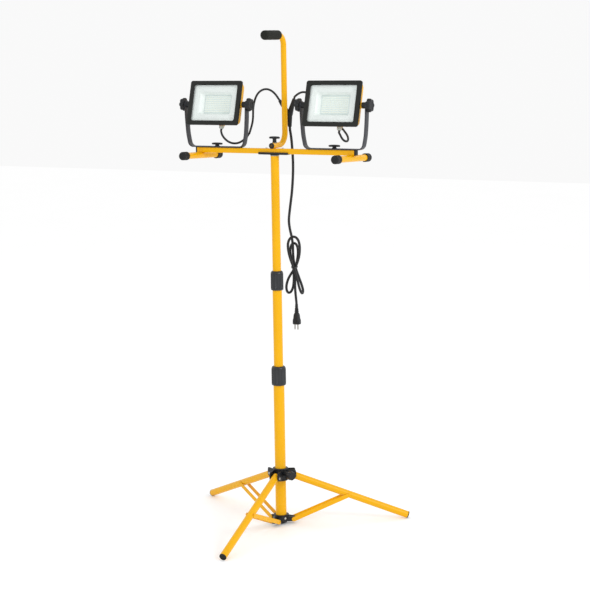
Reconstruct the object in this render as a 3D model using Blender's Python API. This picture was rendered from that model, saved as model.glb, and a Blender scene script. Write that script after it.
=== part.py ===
"""Tripod work light: two tilting flood lights on a crossbar over a telescoping mast.

Metres, +Z up. The crossbar runs along X and the lights face -Y. The origin is on the floor, at the
middle of the footprint. Every piece is placed from the mast's axis, which stands off that middle
because one leg points forward.
"""
import math

import bmesh
import bpy
from mathutils import Matrix, Vector

GAP = 0.0003                 # between pieces that touch
FIT = 0.0005                 # round a pin, a stud or a tube that slides

# Mast
LOWER_RADIUS = 0.0200
MIDDLE_RADIUS = 0.0170
UPPER_RADIUS = 0.0152
MAST_FOOT_Z = 0.0133
LOWER_TOP_Z = 0.5520
MIDDLE_BOTTOM_Z = 0.4000
MIDDLE_TOP_Z = 0.9010
UPPER_BOTTOM_Z = 0.7900
UPPER_TOP_Z = 1.3562
COLLAR_HEIGHT = 0.0700
LOWER_COLLAR_Z = 0.5220
UPPER_COLLAR_Z = 0.8720

# Tripod: each leg and its brace form an isosceles linkage, so the leg hub slides straight
LEG_AZIMUTHS = {"right": 35.0, "back": 155.0, "front": 275.0}
PIVOT_REACH = 0.0460         # from the mast's axis to the pivots of both hubs
LEG_PIVOT_Z = 0.1835
BRACE_PIVOT_Z = 0.0174
LEG_ANGLE = math.radians(21.9)
LEG_LENGTH = 0.4610
LEG_RADIUS = 0.0130
LEG_WALL = 0.0015
FOOT_RADIUS = 0.0139
FOOT_LENGTH = 0.0070
BRACE_LENGTH = (LEG_PIVOT_Z - BRACE_PIVOT_Z) / 2 / math.sin(LEG_ANGLE)
STRIP_INNER = 0.0136         # from the leg's middle plane to a brace strip
STRIP_THICKNESS = 0.0024
PIN_RADIUS = 0.0030
HUB_KNOB_AZIMUTH = -25.0
HUB_KNOB_Z = 0.1940

# Crossbar assembly
CROSSBAR_Z = 1.3730
CROSSBAR_SIDE = 0.0190
CROSSBAR_HALF = 0.3240
CROSSBAR_WALL = 0.0016
FLOOR_BAR_X = 0.3110
FLOOR_BAR_RADIUS = 0.0116
FLOOR_BAR_HALF = 0.1230
FLOOR_BAR_MIDDLE_Y = -0.0020
FLOOR_BAR_RISE = math.radians(2.0)  # of its front end
BAR_CAP_RADIUS = 0.0152
BAR_CAP_LENGTH = 0.0300
STUD_RADIUS = 0.0040
CROSSBAR_TOP_Z = CROSSBAR_Z + CROSSBAR_SIDE / 2
CROSSBAR_BOTTOM_Z = CROSSBAR_Z - CROSSBAR_SIDE / 2
HANDLE_RADIUS = 0.0102
HANDLE_POST_Y = 0.0748
HANDLE_ARM_Z = CROSSBAR_TOP_Z + HANDLE_RADIUS + GAP
GRIP_Z = 1.7820
GRIP_RADIUS = 0.0168
GRIP_FRONT_Y = -0.0620
GRIP_BACK_Y = 0.0400

# Light heads, measured from the tilt axis: +Y back, the head's middle a little above the axis
HEAD_X = 0.2420
TILT_Z = 1.5370
HEAD_TILT = math.radians(15.0)
HEAD_MIDDLE_Z = 0.0030
BEZEL_SIZE = (0.2190, 0.1625)
GLASS_OPENING = (0.1815, 0.1300)
BEZEL_FRONT_Y = -0.0180
BEZEL_BACK_Y = -0.0100
BOSS_END_X = 0.1267
GLAND_X = 0.0260
GLAND_Y = 0.0120
GLAND_TOP_Z = -0.0745
GLAND_END_Z = -0.0870

# Yoke of a head, from the stud on the crossbar
STRAP_THICKNESS = 0.0040
STRAP_WIDTH = 0.0260
YOKE_BASE_Z = CROSSBAR_TOP_Z + GAP + STRAP_THICKNESS / 2
YOKE_CORNER_RADIUS = 0.0200

# Cords
CABLE_RADIUS = 0.00375       # of the cable to each head
CORD_RADIUS = 0.0046         # of the power cord
CORD_GAP = 0.0004
CORD_Y = 0.1022
HANK_MIDDLE_X = 0.0120
HANK_HALF_WIDTH = 0.0400
HANK_TOP_Z = 1.0620
HANK_BOTTOM_Z = 0.8400
HANK_THICKNESS = 0.0360
PLUG_X = 0.0210


# ---------------------------------------------------------------- materials

def make_material(name, colour, roughness, metallic=0.0, alpha=1.0):
    material = bpy.data.materials.new(name)
    material.use_nodes = True
    shader = material.node_tree.nodes["Principled BSDF"]
    shader.inputs["Base Color"].default_value = (*colour, 1.0)
    shader.inputs["Roughness"].default_value = roughness
    shader.inputs["Metallic"].default_value = metallic
    shader.inputs["Alpha"].default_value = alpha
    return material


def make_palette():
    return {
        "yellow": make_material("yellow_paint", (0.90, 0.50, 0.02), 0.35),
        "black": make_material("black_plastic", (0.025, 0.025, 0.027), 0.5),
        "bezel": make_material("black_coating", (0.015, 0.015, 0.016), 0.4),
        "strap": make_material("grey_coated_steel", (0.06, 0.06, 0.065), 0.45, 0.3),
        "rubber": make_material("black_rubber", (0.02, 0.02, 0.02), 0.8),
        "foam": make_material("black_foam", (0.03, 0.03, 0.03), 0.9),
        "cable": make_material("black_cable", (0.02, 0.02, 0.022), 0.55),
        "glass": make_material("front_glass", (0.80, 0.88, 0.86), 0.1, 0.0, 0.35),
        "white": make_material("white_reflector", (0.85, 0.87, 0.87), 0.3),
        "board": make_material("led_board", (0.80, 0.80, 0.76), 0.5),
        "nylon": make_material("clear_nylon", (0.75, 0.76, 0.74), 0.4),
        "steel": make_material("zinc_plated_steel", (0.55, 0.55, 0.56), 0.3, 0.9),
    }


# ---------------------------------------------------------------- mesh building

def skin(loops, ring=False):
    """A closed mesh over loops of equal point counts, joined into a ring or capped at both ends."""
    shape = bmesh.new()
    rows = [[shape.verts.new(point) for point in loop] for loop in loops]
    count = len(rows[0])
    pairs = list(zip(rows, rows[1:]))
    if ring:
        pairs.append((rows[-1], rows[0]))
    for low, high in pairs:
        for i in range(count):
            j = (i + 1) % count
            shape.faces.new((low[i], low[j], high[j], high[i]))
    if not ring:
        shape.faces.new(list(reversed(rows[0])))
        shape.faces.new(rows[-1])
    bmesh.ops.recalc_face_normals(shape, faces=shape.faces)
    mesh = bpy.data.meshes.new("shape")
    shape.to_mesh(mesh)
    shape.free()
    return mesh


def circle(radius, height, sides):
    angles = [2 * math.pi * (i + 0.5) / sides for i in range(sides)]
    return [(radius * math.cos(a), radius * math.sin(a), height) for a in angles]


def turned(profile, sides=16, ring=False):
    """A body turned about Z from (radius, height) pairs: a solid, or a sleeve where ring is set."""
    return skin([circle(radius, height, sides) for radius, height in profile], ring)


def sleeve(outer, inner, low, high, sides=16):
    return turned([(outer, low), (outer, high), (inner, high), (inner, low)], sides, ring=True)


def extruded(outline, low, high):
    """An outline in the XY plane, extruded along Z."""
    return skin([[(x, y, z) for x, y in outline] for z in (low, high)])


def block(low, high):
    outline = [(low[0], low[1]), (high[0], low[1]), (high[0], high[1]), (low[0], high[1])]
    return extruded(outline, low[2], high[2])


def rounded_rectangle(width, height, radius, steps=2):
    corners = [(1, 1), (-1, 1), (-1, -1), (1, -1)]
    points = []
    for quarter, (sx, sy) in enumerate(corners):
        for step in range(steps + 1):
            angle = math.pi / 2 * (quarter + step / steps)
            points.append((sx * (width / 2 - radius) + radius * math.cos(angle),
                           sy * (height / 2 - radius) + radius * math.sin(angle)))
    return points


def slot_outline(length, radius, end_radius, steps=5):
    """A bar with round ends, from the origin to length along X."""
    start = [(radius * math.cos(a), radius * math.sin(a))
             for a in (math.pi / 2 + math.pi * i / steps for i in range(steps + 1))]
    end = [(length + end_radius * math.cos(a), end_radius * math.sin(a))
           for a in (-math.pi / 2 + math.pi * i / steps for i in range(steps + 1))]
    return start + end


def lobed_outline(radius, depth, lobes, points_per_lobe=4):
    count = lobes * points_per_lobe
    points = []
    for i in range(count):
        angle = 2 * math.pi * i / count
        reach = radius - depth * (1 - abs(math.cos(lobes * angle / 2)) ** 0.7)
        points.append((reach * math.cos(angle), reach * math.sin(angle)))
    return points


def moved(mesh, *matrices):
    """The mesh after each matrix in turn."""
    for matrix in matrices:
        mesh.transform(matrix)
    return mesh


def shift(x, y, z):
    return Matrix.Translation((x, y, z))


def turn(degrees, axis):
    return Matrix.Rotation(math.radians(degrees), 4, axis)


def combined(base, tools, operation):
    """The base mesh joined with the tools, or with the tools cut away."""
    for tool in tools:
        body = bpy.data.objects.new("body", base)
        other = bpy.data.objects.new("tool", tool)
        for item in (body, other):
            bpy.context.scene.collection.objects.link(item)
        modifier = body.modifiers.new("combine", "BOOLEAN")
        modifier.object = other
        modifier.operation = operation
        bpy.context.view_layer.update()
        evaluated = body.evaluated_get(bpy.context.evaluated_depsgraph_get())
        base = bpy.data.meshes.new_from_object(evaluated)
        for item in (body, other):
            bpy.data.objects.remove(item)
    return base


def joined(base, *tools):
    return combined(base, tools, "UNION")


def cut(base, *tools):
    return combined(base, tools, "DIFFERENCE")


# ---------------------------------------------------------------- objects

def add_empty(name, parent=None, location=(0, 0, 0), rotation=(0, 0, 0)):
    empty = bpy.data.objects.new(name, None)
    bpy.context.scene.collection.objects.link(empty)
    empty.parent = parent
    empty.location = location
    empty.rotation_euler = rotation
    return empty


def add_part(name, mesh, material, parent, origin=(0, 0, 0), smooth=True):
    """A named object whose mesh was built in its parent's frame, with its origin on its joint."""
    mesh.transform(Matrix.Translation(-Vector(origin)))
    mesh.name = name
    mesh.materials.clear()
    mesh.materials.append(material)
    if smooth:
        mesh.shade_smooth()
        mesh.set_sharp_from_angle(angle=math.radians(35))
    part = bpy.data.objects.new(name, mesh)
    bpy.context.scene.collection.objects.link(part)
    part.parent = parent
    part.location = origin
    return part


# ---------------------------------------------------------------- cords

def smooth_route(points, spacing):
    """Points at an even spacing on a Catmull-Rom curve through the route's own points."""
    knots = [Vector(point) for point in points]
    knots = [2 * knots[0] - knots[1]] + knots + [2 * knots[-1] - knots[-2]]
    dense = []
    fine = 24
    for a, b, c, d in zip(knots, knots[1:], knots[2:], knots[3:]):
        for i in range(fine):
            t = i / fine
            dense.append(0.5 * (2 * b + (c - a) * t + (2 * a - 5 * b + 4 * c - d) * t ** 2
                                + (3 * b - a - 3 * c + d) * t ** 3))
    dense.append(knots[-2])
    lengths = [0.0]
    for a, b in zip(dense, dense[1:]):
        lengths.append(lengths[-1] + (b - a).length)
    count = max(2, round(lengths[-1] / spacing))
    route, segment = [], 0
    for i in range(count + 1):
        target = lengths[-1] * i / count
        while segment < len(dense) - 2 and lengths[segment + 1] < target:
            segment += 1
        span = lengths[segment + 1] - lengths[segment]
        route.append(dense[segment].lerp(dense[segment + 1], (target - lengths[segment]) / span))
    return route


def relaxed(route, rounds=24):
    """The route with its kinks eased out, and its two ends held."""
    for _ in range(rounds):
        route = route[:2] + [(a + 2 * b + c) / 4 for a, b, c in zip(route[1:], route[2:], route[3:])] \
            + route[-2:]
    return route


def add_cord(name, points, radius, material, parent):
    """A round cord along a smooth route, with flat ends square to its first and last stretch."""
    route = relaxed(smooth_route(points[1:-1], 0.0040))
    step = max(1, round(6 * radius / 0.0040))
    route = [points[0], route[0]] + route[step:-step:step] + [route[-1], points[-1]]
    curve = bpy.data.curves.new(name, "CURVE")
    curve.dimensions = "3D"
    curve.bevel_depth = radius
    curve.bevel_resolution = 2
    curve.use_fill_caps = True
    spline = curve.splines.new("POLY")
    spline.points.add(len(route) - 1)
    for spot, place in zip(spline.points, route):
        spot.co = (*place, 1.0)
    curve.materials.append(material)
    cord = bpy.data.objects.new(name, curve)
    bpy.context.scene.collection.objects.link(cord)
    cord.parent = parent
    return cord


# ---------------------------------------------------------------- mast

def build_mast(palette, mast):
    yellow, black, steel = palette["yellow"], palette["black"], palette["steel"]
    add_part("lower_tube", sleeve(LOWER_RADIUS, LOWER_RADIUS - 0.0016, MAST_FOOT_Z, LOWER_TOP_Z),
             yellow, mast)
    add_part("middle_tube", sleeve(MIDDLE_RADIUS, MIDDLE_RADIUS - 0.0013, MIDDLE_BOTTOM_Z, MIDDLE_TOP_Z),
             yellow, mast)
    add_part("upper_tube", sleeve(UPPER_RADIUS, UPPER_RADIUS - 0.0015, UPPER_BOTTOM_Z, UPPER_TOP_Z),
             yellow, mast)
    add_collar("lower_collar", 0.0265, LOWER_COLLAR_Z, LOWER_RADIUS, MIDDLE_RADIUS, LOWER_TOP_Z,
               black, mast)
    add_collar("upper_collar", 0.0229, UPPER_COLLAR_Z, MIDDLE_RADIUS, UPPER_RADIUS, MIDDLE_TOP_Z,
               black, mast)
    plug_radius = UPPER_RADIUS - 0.0015 - GAP
    flange_top = UPPER_TOP_Z + 0.0022
    stud_top = HANDLE_ARM_Z + HANDLE_RADIUS + 0.0072
    plug = turned([(plug_radius, UPPER_TOP_Z - 0.024), (plug_radius, UPPER_TOP_Z + GAP),
                   (0.0160, UPPER_TOP_Z + GAP), (0.0160, flange_top),
                   (STUD_RADIUS, flange_top), (STUD_RADIUS, stud_top)])
    add_part("mast_plug", plug, steel, mast)
    add_part("swivel_washer", sleeve(0.0160, STUD_RADIUS + FIT, flange_top + GAP, flange_top + 0.0023),
             palette["nylon"], mast)


def add_collar(name, radius, low, outer_tube, inner_tube, step, material, mast):
    """A twist collar: its lower half grips the outer tube, its upper half the tube that slides."""
    high = low + COLLAR_HEIGHT
    profile = [(outer_tube + FIT, low), (radius - 0.003, low), (radius, low + 0.005),
               (radius, high - 0.007), (radius - 0.004, high), (inner_tube + FIT, high),
               (inner_tube + FIT, step + GAP), (outer_tube + FIT, step + GAP)]
    add_part(name, turned(profile, ring=True), material, mast, (0, 0, low))


# ---------------------------------------------------------------- tripod

def build_tripod(palette, mast):
    build_brace_hub(palette, mast)
    build_leg_hub(palette, mast)
    for side, azimuth in LEG_AZIMUTHS.items():
        spoke = add_empty(f"{side}_spoke", mast, rotation=(0, 0, math.radians(azimuth)))
        build_leg(side, palette, spoke)
        build_brace(side, palette, spoke)


def cross_pin(radius, half_length):
    """A pin along Y, through the origin."""
    return moved(turned([(radius, -half_length), (radius, half_length)], 8), turn(90, "X"))


def leg_frame():
    """From along the leg (X) to its place in the spoke's frame, sloping down from the top pivot."""
    return shift(PIVOT_REACH, 0, LEG_PIVOT_Z) @ Matrix.Rotation(LEG_ANGLE, 4, "Y")


def brace_frame():
    """From along the brace (X) to its place in the spoke's frame, sloping up from the low pivot."""
    return shift(PIVOT_REACH, 0, BRACE_PIVOT_Z) @ Matrix.Rotation(-LEG_ANGLE, 4, "Y")


def build_leg(side, palette, spoke):
    start, end = -0.0100, LEG_LENGTH - FOOT_LENGTH
    tube = moved(sleeve(LEG_RADIUS, LEG_RADIUS - LEG_WALL, start, end, 12), turn(90, "Y"))
    holes = [cross_pin(PIN_RADIUS + FIT, 0.02), moved(cross_pin(PIN_RADIUS + FIT, 0.02),
                                                     shift(BRACE_LENGTH, 0, 0))]
    tube = cut(tube, *holes)
    brace_end = brace_frame() @ Vector((BRACE_LENGTH, 0, 0))
    add_part(f"{side}_leg", moved(tube, leg_frame()), palette["yellow"], spoke, brace_end)
    plug_radius = LEG_RADIUS - LEG_WALL - GAP
    cap = turned([(plug_radius, end - 0.012), (plug_radius, end + GAP), (FOOT_RADIUS, end + GAP),
                  (FOOT_RADIUS, LEG_LENGTH - 0.0015), (FOOT_RADIUS - 0.0015, LEG_LENGTH)], 12)
    cap = moved(cap, turn(90, "Y"), leg_frame())
    reach = PIVOT_REACH + LEG_LENGTH
    cap = cut(cap, block((0, -0.1, -0.1), (reach, 0.1, 0)))
    add_part(f"{side}_foot", cap, palette["rubber"], spoke, brace_end)


def build_brace(side, palette, spoke):
    """Two flat strips, one each side of the leg, held together by their two rivets."""
    outline = slot_outline(BRACE_LENGTH, 0.0083, 0.0075)
    outer = STRIP_INNER + STRIP_THICKNESS
    upright = turn(90, "X")
    strips = [moved(extruded(outline, low, low + STRIP_THICKNESS), upright)
              for low in (STRIP_INNER, -outer)]
    rivets = [moved(cross_pin(PIN_RADIUS, outer + 0.0012), shift(x, 0, 0)) for x in (0, BRACE_LENGTH)]
    brace = joined(strips[0], rivets[0], strips[1], rivets[1])
    low_pivot = (PIVOT_REACH, 0, BRACE_PIVOT_Z)
    add_part(f"{side}_brace", moved(brace, brace_frame()), palette["yellow"], spoke, low_pivot)


def radial_block(azimuth, reach, low, high, side_low, side_high):
    """A block from near the mast out along an azimuth, between two distances to its side."""
    return moved(block((reach[0], side_low, low), (reach[1], side_high, high)), turn(azimuth, "Z"))


def build_brace_hub(palette, mast):
    """A cup under the mast with an ear for each brace, drilled for the brace's rivet."""
    low, high = 0.0090, 0.0360
    hub = turned([(0.0270, low), (0.0270, high), (LOWER_RADIUS + GAP, high),
                  (LOWER_RADIUS + GAP, MAST_FOOT_Z - GAP)])
    for azimuth in LEG_AZIMUTHS.values():
        ear = radial_block(azimuth, (0.0235, PIVOT_REACH + 0.0080), low, BRACE_PIVOT_Z + 0.0080,
                           -STRIP_INNER + GAP, STRIP_INNER - GAP)
        hub = joined(hub, ear)
    for azimuth in LEG_AZIMUTHS.values():
        place = turn(azimuth, "Z") @ shift(PIVOT_REACH, 0, BRACE_PIVOT_Z)
        hub = cut(hub, moved(cross_pin(PIN_RADIUS + FIT, 0.02), place))
    add_part("brace_hub", hub, palette["black"], mast)


def build_leg_hub(palette, mast):
    """A slider round the mast: a clevis with its pin for each leg, and a boss for the lock knob."""
    black = palette["black"]
    low, high = 0.1660, 0.2120
    hub = sleeve(0.0270, LOWER_RADIUS + FIT, low, high)
    for azimuth in LEG_AZIMUTHS.values():
        for side in (1, -1):
            edges = sorted((side * STRIP_INNER, side * (STRIP_INNER + 0.0050)))
            cheek = radial_block(azimuth, (0.0150, PIVOT_REACH + 0.0090), LEG_PIVOT_Z - 0.0120,
                                 LEG_PIVOT_Z + 0.0220, *edges)
            hub = joined(hub, cheek)
        place = turn(azimuth, "Z") @ shift(PIVOT_REACH, 0, LEG_PIVOT_Z)
        hub = joined(hub, moved(cross_pin(PIN_RADIUS, STRIP_INNER + 0.0040), place))
    knob_frame = turn(HUB_KNOB_AZIMUTH, "Z") @ shift(0, 0, HUB_KNOB_Z) @ turn(90, "Y")
    hub = joined(hub, moved(turned([(0.0095, 0.0235), (0.0095, 0.0350)], 12), knob_frame))
    mast_bore = turned([(LOWER_RADIUS + FIT, low - 0.01), (LOWER_RADIUS + FIT, high + 0.01)])
    hub = cut(hub, mast_bore, moved(turned([(0.0045, 0.0150), (0.0045, 0.0400)], 8), knob_frame))
    add_part("leg_hub", hub, black, mast, (PIVOT_REACH, 0, LEG_PIVOT_Z))
    knob = turned([(0.0040, LOWER_RADIUS + 0.0010), (0.0040, 0.0356), (0.0080, 0.0356),
                   (0.0080, 0.0540), (0.0150, 0.0560), (0.0165, 0.0600), (0.0165, 0.0720),
                   (0.0140, 0.0770)])
    add_part("hub_knob", moved(knob, knob_frame), black, mast, (0, 0, HUB_KNOB_Z))


# ---------------------------------------------------------------- crossbar assembly

def build_crossbar(palette, mast):
    yellow, black = palette["yellow"], palette["black"]
    half, side = CROSSBAR_HALF, CROSSBAR_SIDE / 2
    inner = side - CROSSBAR_WALL
    loops = []
    for x, reach in ((-half, side), (half, side), (half, inner), (-half, inner)):
        loops.append([(x, reach * sy, CROSSBAR_Z + reach * sz)
                      for sy, sz in ((1, 1), (-1, 1), (-1, -1), (1, -1))])
    bar = skin(loops, ring=True)
    for x in (-FLOOR_BAR_X, FLOOR_BAR_X):
        floor_bar = sleeve(FLOOR_BAR_RADIUS, FLOOR_BAR_RADIUS - 0.0015, -FLOOR_BAR_HALF,
                           FLOOR_BAR_HALF, 12)
        bar = joined(bar, moved(floor_bar, turn(90, "X"), bar_place(x)))
    for x, low in ((0, CROSSBAR_Z - CROSSBAR_SIDE), (HEAD_X, CROSSBAR_Z), (-HEAD_X, CROSSBAR_Z)):
        hole = [(STUD_RADIUS + FIT, low), (STUD_RADIUS + FIT, CROSSBAR_Z + CROSSBAR_SIDE)]
        bar = cut(bar, moved(turned(hole, 8), shift(x, 0, 0)))
    add_part("crossbar", bar, yellow, mast)
    for name, sign in (("left_crossbar_cap", -1), ("right_crossbar_cap", 1)):
        add_part(name, crossbar_cap(sign, inner), black, mast, smooth=False)
    for side_name, x in (("left", -FLOOR_BAR_X), ("right", FLOOR_BAR_X)):
        for end_name, sign in (("front", -1), ("rear", 1)):
            cup = turned([(BAR_CAP_RADIUS - 0.003, 0.0), (BAR_CAP_RADIUS, 0.003),
                          (BAR_CAP_RADIUS, BAR_CAP_LENGTH), (FLOOR_BAR_RADIUS + GAP, BAR_CAP_LENGTH),
                          (FLOOR_BAR_RADIUS + GAP, 0.0040)], 12)
            facing = turn(-90, "X") if sign < 0 else turn(90, "X")
            end = shift(0, sign * (FLOOR_BAR_HALF + 0.0040 + GAP), 0)
            add_part(f"{side_name}_{end_name}_bar_cap", moved(cup, facing, end, bar_place(x)),
                     palette["rubber"], mast)


def bar_place(x):
    """Where a floor bar lies under the crossbar: its front end is a little higher than its rear end."""
    weld_depth = 0.0010
    bar_z = CROSSBAR_BOTTOM_Z - FLOOR_BAR_RADIUS + weld_depth
    return shift(x, 0, bar_z) @ Matrix.Rotation(-FLOOR_BAR_RISE, 4, "X") \
        @ shift(0, FLOOR_BAR_MIDDLE_Y, 0)


def crossbar_cap(sign, inner):
    """An end cap: a square head, and a shank that fits inside the crossbar."""
    steps = ((CROSSBAR_HALF - 0.012, inner - GAP), (CROSSBAR_HALF + GAP, inner - GAP),
             (CROSSBAR_HALF + GAP, CROSSBAR_SIDE / 2), (CROSSBAR_HALF + 0.005, CROSSBAR_SIDE / 2),
             (CROSSBAR_HALF + 0.006, CROSSBAR_SIDE / 2 - 0.001))
    return skin([[(sign * x, reach * sy, CROSSBAR_Z + reach * sz)
                  for sy, sz in ((1, 1), (-1, 1), (-1, -1), (1, -1))] for x, reach in steps])


def build_saddle(palette, mast):
    """A channel under the crossbar's middle, with tapered ends, that turns on the mast's stud."""
    low, lip = UPPER_TOP_Z + 0.0048, CROSSBAR_BOTTOM_Z + 0.0055
    outline = [(-0.0605, lip), (-0.0605, CROSSBAR_BOTTOM_Z - 0.0013), (-0.056, low), (0.056, low),
               (0.0605, CROSSBAR_BOTTOM_Z - 0.0013), (0.0605, lip)]
    plate = skin([[(x, y, z) for x, z in outline] for y in (-0.0145, 0.0145)])
    side = CROSSBAR_SIDE / 2 + GAP
    channel = block((-0.07, -side, CROSSBAR_BOTTOM_Z - GAP), (0.07, side, CROSSBAR_Z))
    hole = turned([(STUD_RADIUS + FIT, low - 0.01), (STUD_RADIUS + FIT, lip + 0.01)], 8)
    add_part("saddle_plate", cut(plate, channel, hole), palette["black"], mast)


def handle_route():
    """The handle's centreline in the YZ plane: front end, elbow, post, top bend, grip end."""
    elbow, bend = 0.0440, 0.0350
    points = [(-0.0200, HANDLE_ARM_Z)]
    points += [(HANDLE_POST_Y - elbow + elbow * math.sin(a), HANDLE_ARM_Z + elbow * (1 - math.cos(a)))
               for a in (math.pi / 2 * i / 5 for i in range(6))]
    points += [(HANDLE_POST_Y - bend + bend * math.cos(a), GRIP_Z - bend + bend * math.sin(a))
               for a in (math.pi / 2 * i / 5 for i in range(6))]
    points += [(GRIP_FRONT_Y + 0.0050, GRIP_Z)]
    return points


def pipe_loops(route, radius, sides):
    """Rings of points round a route in the YZ plane."""
    loops = []
    for i, (y, z) in enumerate(route):
        before, after = route[max(i - 1, 0)], route[min(i + 1, len(route) - 1)]
        along = Vector((0, after[0] - before[0], after[1] - before[1])).normalized()
        across = along.cross(Vector((1, 0, 0)))
        ring = []
        for k in range(sides):
            angle = 2 * math.pi * (k + 0.5) / sides
            ring.append(Vector((0, y, z)) + radius * (math.cos(angle) * Vector((1, 0, 0))
                                                      + math.sin(angle) * across))
        loops.append(ring)
    return loops


def build_handle(palette, mast):
    route = handle_route()
    outer = pipe_loops(route, HANDLE_RADIUS, 12)
    inner = pipe_loops(route, HANDLE_RADIUS - 0.0015, 12)
    tube = skin(outer + list(reversed(inner)), ring=True)
    stud_hole = turned([(STUD_RADIUS + FIT, HANDLE_ARM_Z - 0.02),
                        (STUD_RADIUS + FIT, HANDLE_ARM_Z + 0.02)], 8)
    add_part("handle", cut(tube, stud_hole), palette["yellow"], mast)
    length = GRIP_BACK_Y - GRIP_FRONT_Y
    cup = turned([(GRIP_RADIUS - 0.005, 0.0), (GRIP_RADIUS, 0.004), (GRIP_RADIUS, length - 0.003),
                  (GRIP_RADIUS - 0.003, length), (HANDLE_RADIUS + GAP, length),
                  (HANDLE_RADIUS + GAP, 0.0050 - GAP)])
    cup = moved(cup, turn(-90, "X"), shift(0, GRIP_FRONT_Y, GRIP_Z))
    add_part("handle_grip", cup, palette["foam"], mast)


def t_knob(low, stem_height, wing_height, wing_length):
    """A T-shaped knob on the Z axis: a round stem under a bar."""
    stem = turned([(0.0080, low), (0.0070, low + stem_height + 0.001)], 12)
    bar = extruded(rounded_rectangle(wing_length, 0.0110, 0.0050), low + stem_height,
                   low + stem_height + wing_height)
    return joined(stem, bar)


def build_clamp_knob(palette, mast):
    low = HANDLE_ARM_Z + HANDLE_RADIUS + GAP
    bore = turned([(STUD_RADIUS + FIT, low - 0.01), (STUD_RADIUS + FIT, low + 0.0080)], 8)
    add_part("clamp_knob", cut(t_knob(low, 0.0130, 0.0090, 0.0440), bore), palette["black"], mast)


# ---------------------------------------------------------------- light heads

def face_loop(size, y, radius):
    """A rounded rectangle that faces along Y, about the head's middle."""
    return [(x, y, z + HEAD_MIDDLE_Z) for x, z in rounded_rectangle(*size, radius)]


def side_cylinder(radius, low, high, sides=12):
    """A cylinder along X, on the tilt axis."""
    return moved(turned([(radius, low), (radius, high)], sides), turn(90, "Y"))


def housing_mesh():
    """An open case with cooling fins on its back and a boss on each side for the tilt knobs."""
    front, back = -0.0097, 0.0260
    case = skin([face_loop((0.1780, 0.1215), back - 0.003, 0.012),
                 face_loop((0.1950, 0.1385), 0.0120, 0.006), face_loop((0.2080, 0.1515), front, 0.006),
                 face_loop((0.2140, 0.1575), front, 0.009), face_loop((0.2020, 0.1455), 0.0120, 0.009),
                 face_loop((0.1870, 0.1305), back, 0.015)])
    fin_count, fin_pitch = 7, 0.0250
    for i in range(fin_count):
        x = (i - (fin_count - 1) / 2) * fin_pitch
        fin = block((x - 0.0014, back - 0.002, HEAD_MIDDLE_Z - 0.056),
                    (x + 0.0014, back + 0.009, HEAD_MIDDLE_Z + 0.056))
        case = joined(case, fin)
    pad = turned([(0.0115, GLAND_TOP_Z + GAP), (0.0115, -0.0660)], 12)
    case = joined(case, moved(pad, shift(GLAND_X, GLAND_Y, 0)))
    for sign in (1, -1):
        ends = sorted((sign * 0.1024, sign * BOSS_END_X))
        case = joined(case, side_cylinder(0.0095, *ends))
    for sign in (1, -1):
        ends = sorted((sign * 0.0930, sign * 0.1400))
        case = cut(case, side_cylinder(STUD_RADIUS + FIT, *ends, 8))
    gland_hole = turned([(0.0083, -0.09), (0.0083, -0.05)], 12)
    return cut(case, moved(gland_hole, shift(GLAND_X, GLAND_Y, 0)))


def bezel_mesh():
    """A frame with a rabbet behind its opening, where the front glass sits."""
    width, height = BEZEL_SIZE
    rabbet = (GLASS_OPENING[0] + 0.010, GLASS_OPENING[1] + 0.010)
    step = BEZEL_FRONT_Y + 0.0028
    return skin([face_loop((width - 0.003, height - 0.003), BEZEL_FRONT_Y, 0.0070),
                 face_loop((width, height), BEZEL_FRONT_Y + 0.0015, 0.0080),
                 face_loop((width, height), BEZEL_BACK_Y, 0.0080),
                 face_loop(rabbet, BEZEL_BACK_Y, 0.0070), face_loop(rabbet, step, 0.0070),
                 face_loop(GLASS_OPENING, step, 0.0060), face_loop(GLASS_OPENING, BEZEL_FRONT_Y, 0.0060)],
                ring=True)


def reflector_mesh():
    """A tray: a flange behind the glass, and four slopes down to the window of the board."""
    flange, mouth, window = (0.2040, 0.1470), (0.1360, 0.0840), (0.1130, 0.0690)
    front, wall = -0.0094, 0.0012
    return skin([face_loop(flange, front, 0.008), face_loop(mouth, front, 0.008),
                 face_loop(window, 0.0086, 0.003),
                 face_loop((window[0] + 0.003, window[1] + 0.003), 0.0086, 0.0040),
                 face_loop((mouth[0] + 0.003, mouth[1] + 0.003), front + wall, 0.009),
                 face_loop(flange, front + wall, 0.008)], ring=True)


def gland_mesh():
    """A cable gland: thread through the case wall, hexagonal body, domed nut."""
    loops = [circle(0.0078, GLAND_TOP_Z + 0.010, 12), circle(0.0078, GLAND_TOP_Z, 12)]
    loops += [circle(0.0105, GLAND_TOP_Z, 12), circle(0.0105, GLAND_TOP_Z - 0.0045, 12)]
    loops += [circle(0.0088, GLAND_TOP_Z - 0.0048, 12), circle(0.0085, GLAND_TOP_Z - 0.0100, 12)]
    loops += [circle(0.0058, GLAND_END_Z, 12)]
    return moved(skin(loops), shift(GLAND_X, GLAND_Y, 0))


def tilt_knob_mesh(sign):
    """A lobed hand wheel with its stud, on the tilt axis."""
    low, thickness = 0.1313, 0.0170
    outline = lobed_outline(0.0240, 0.0042, 7)
    levels = ((low, 0.72), (low + 0.0040, 1.0), (low + thickness - 0.003, 1.0), (low + thickness, 0.86))
    wheel = skin([[(x * scale, y * scale, z) for x, y in outline] for z, scale in levels])
    stud = turned([(STUD_RADIUS, 0.1080), (STUD_RADIUS, low + 0.005)], 8)
    return moved(joined(wheel, stud), turn(90 * sign, "Y"))


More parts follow.
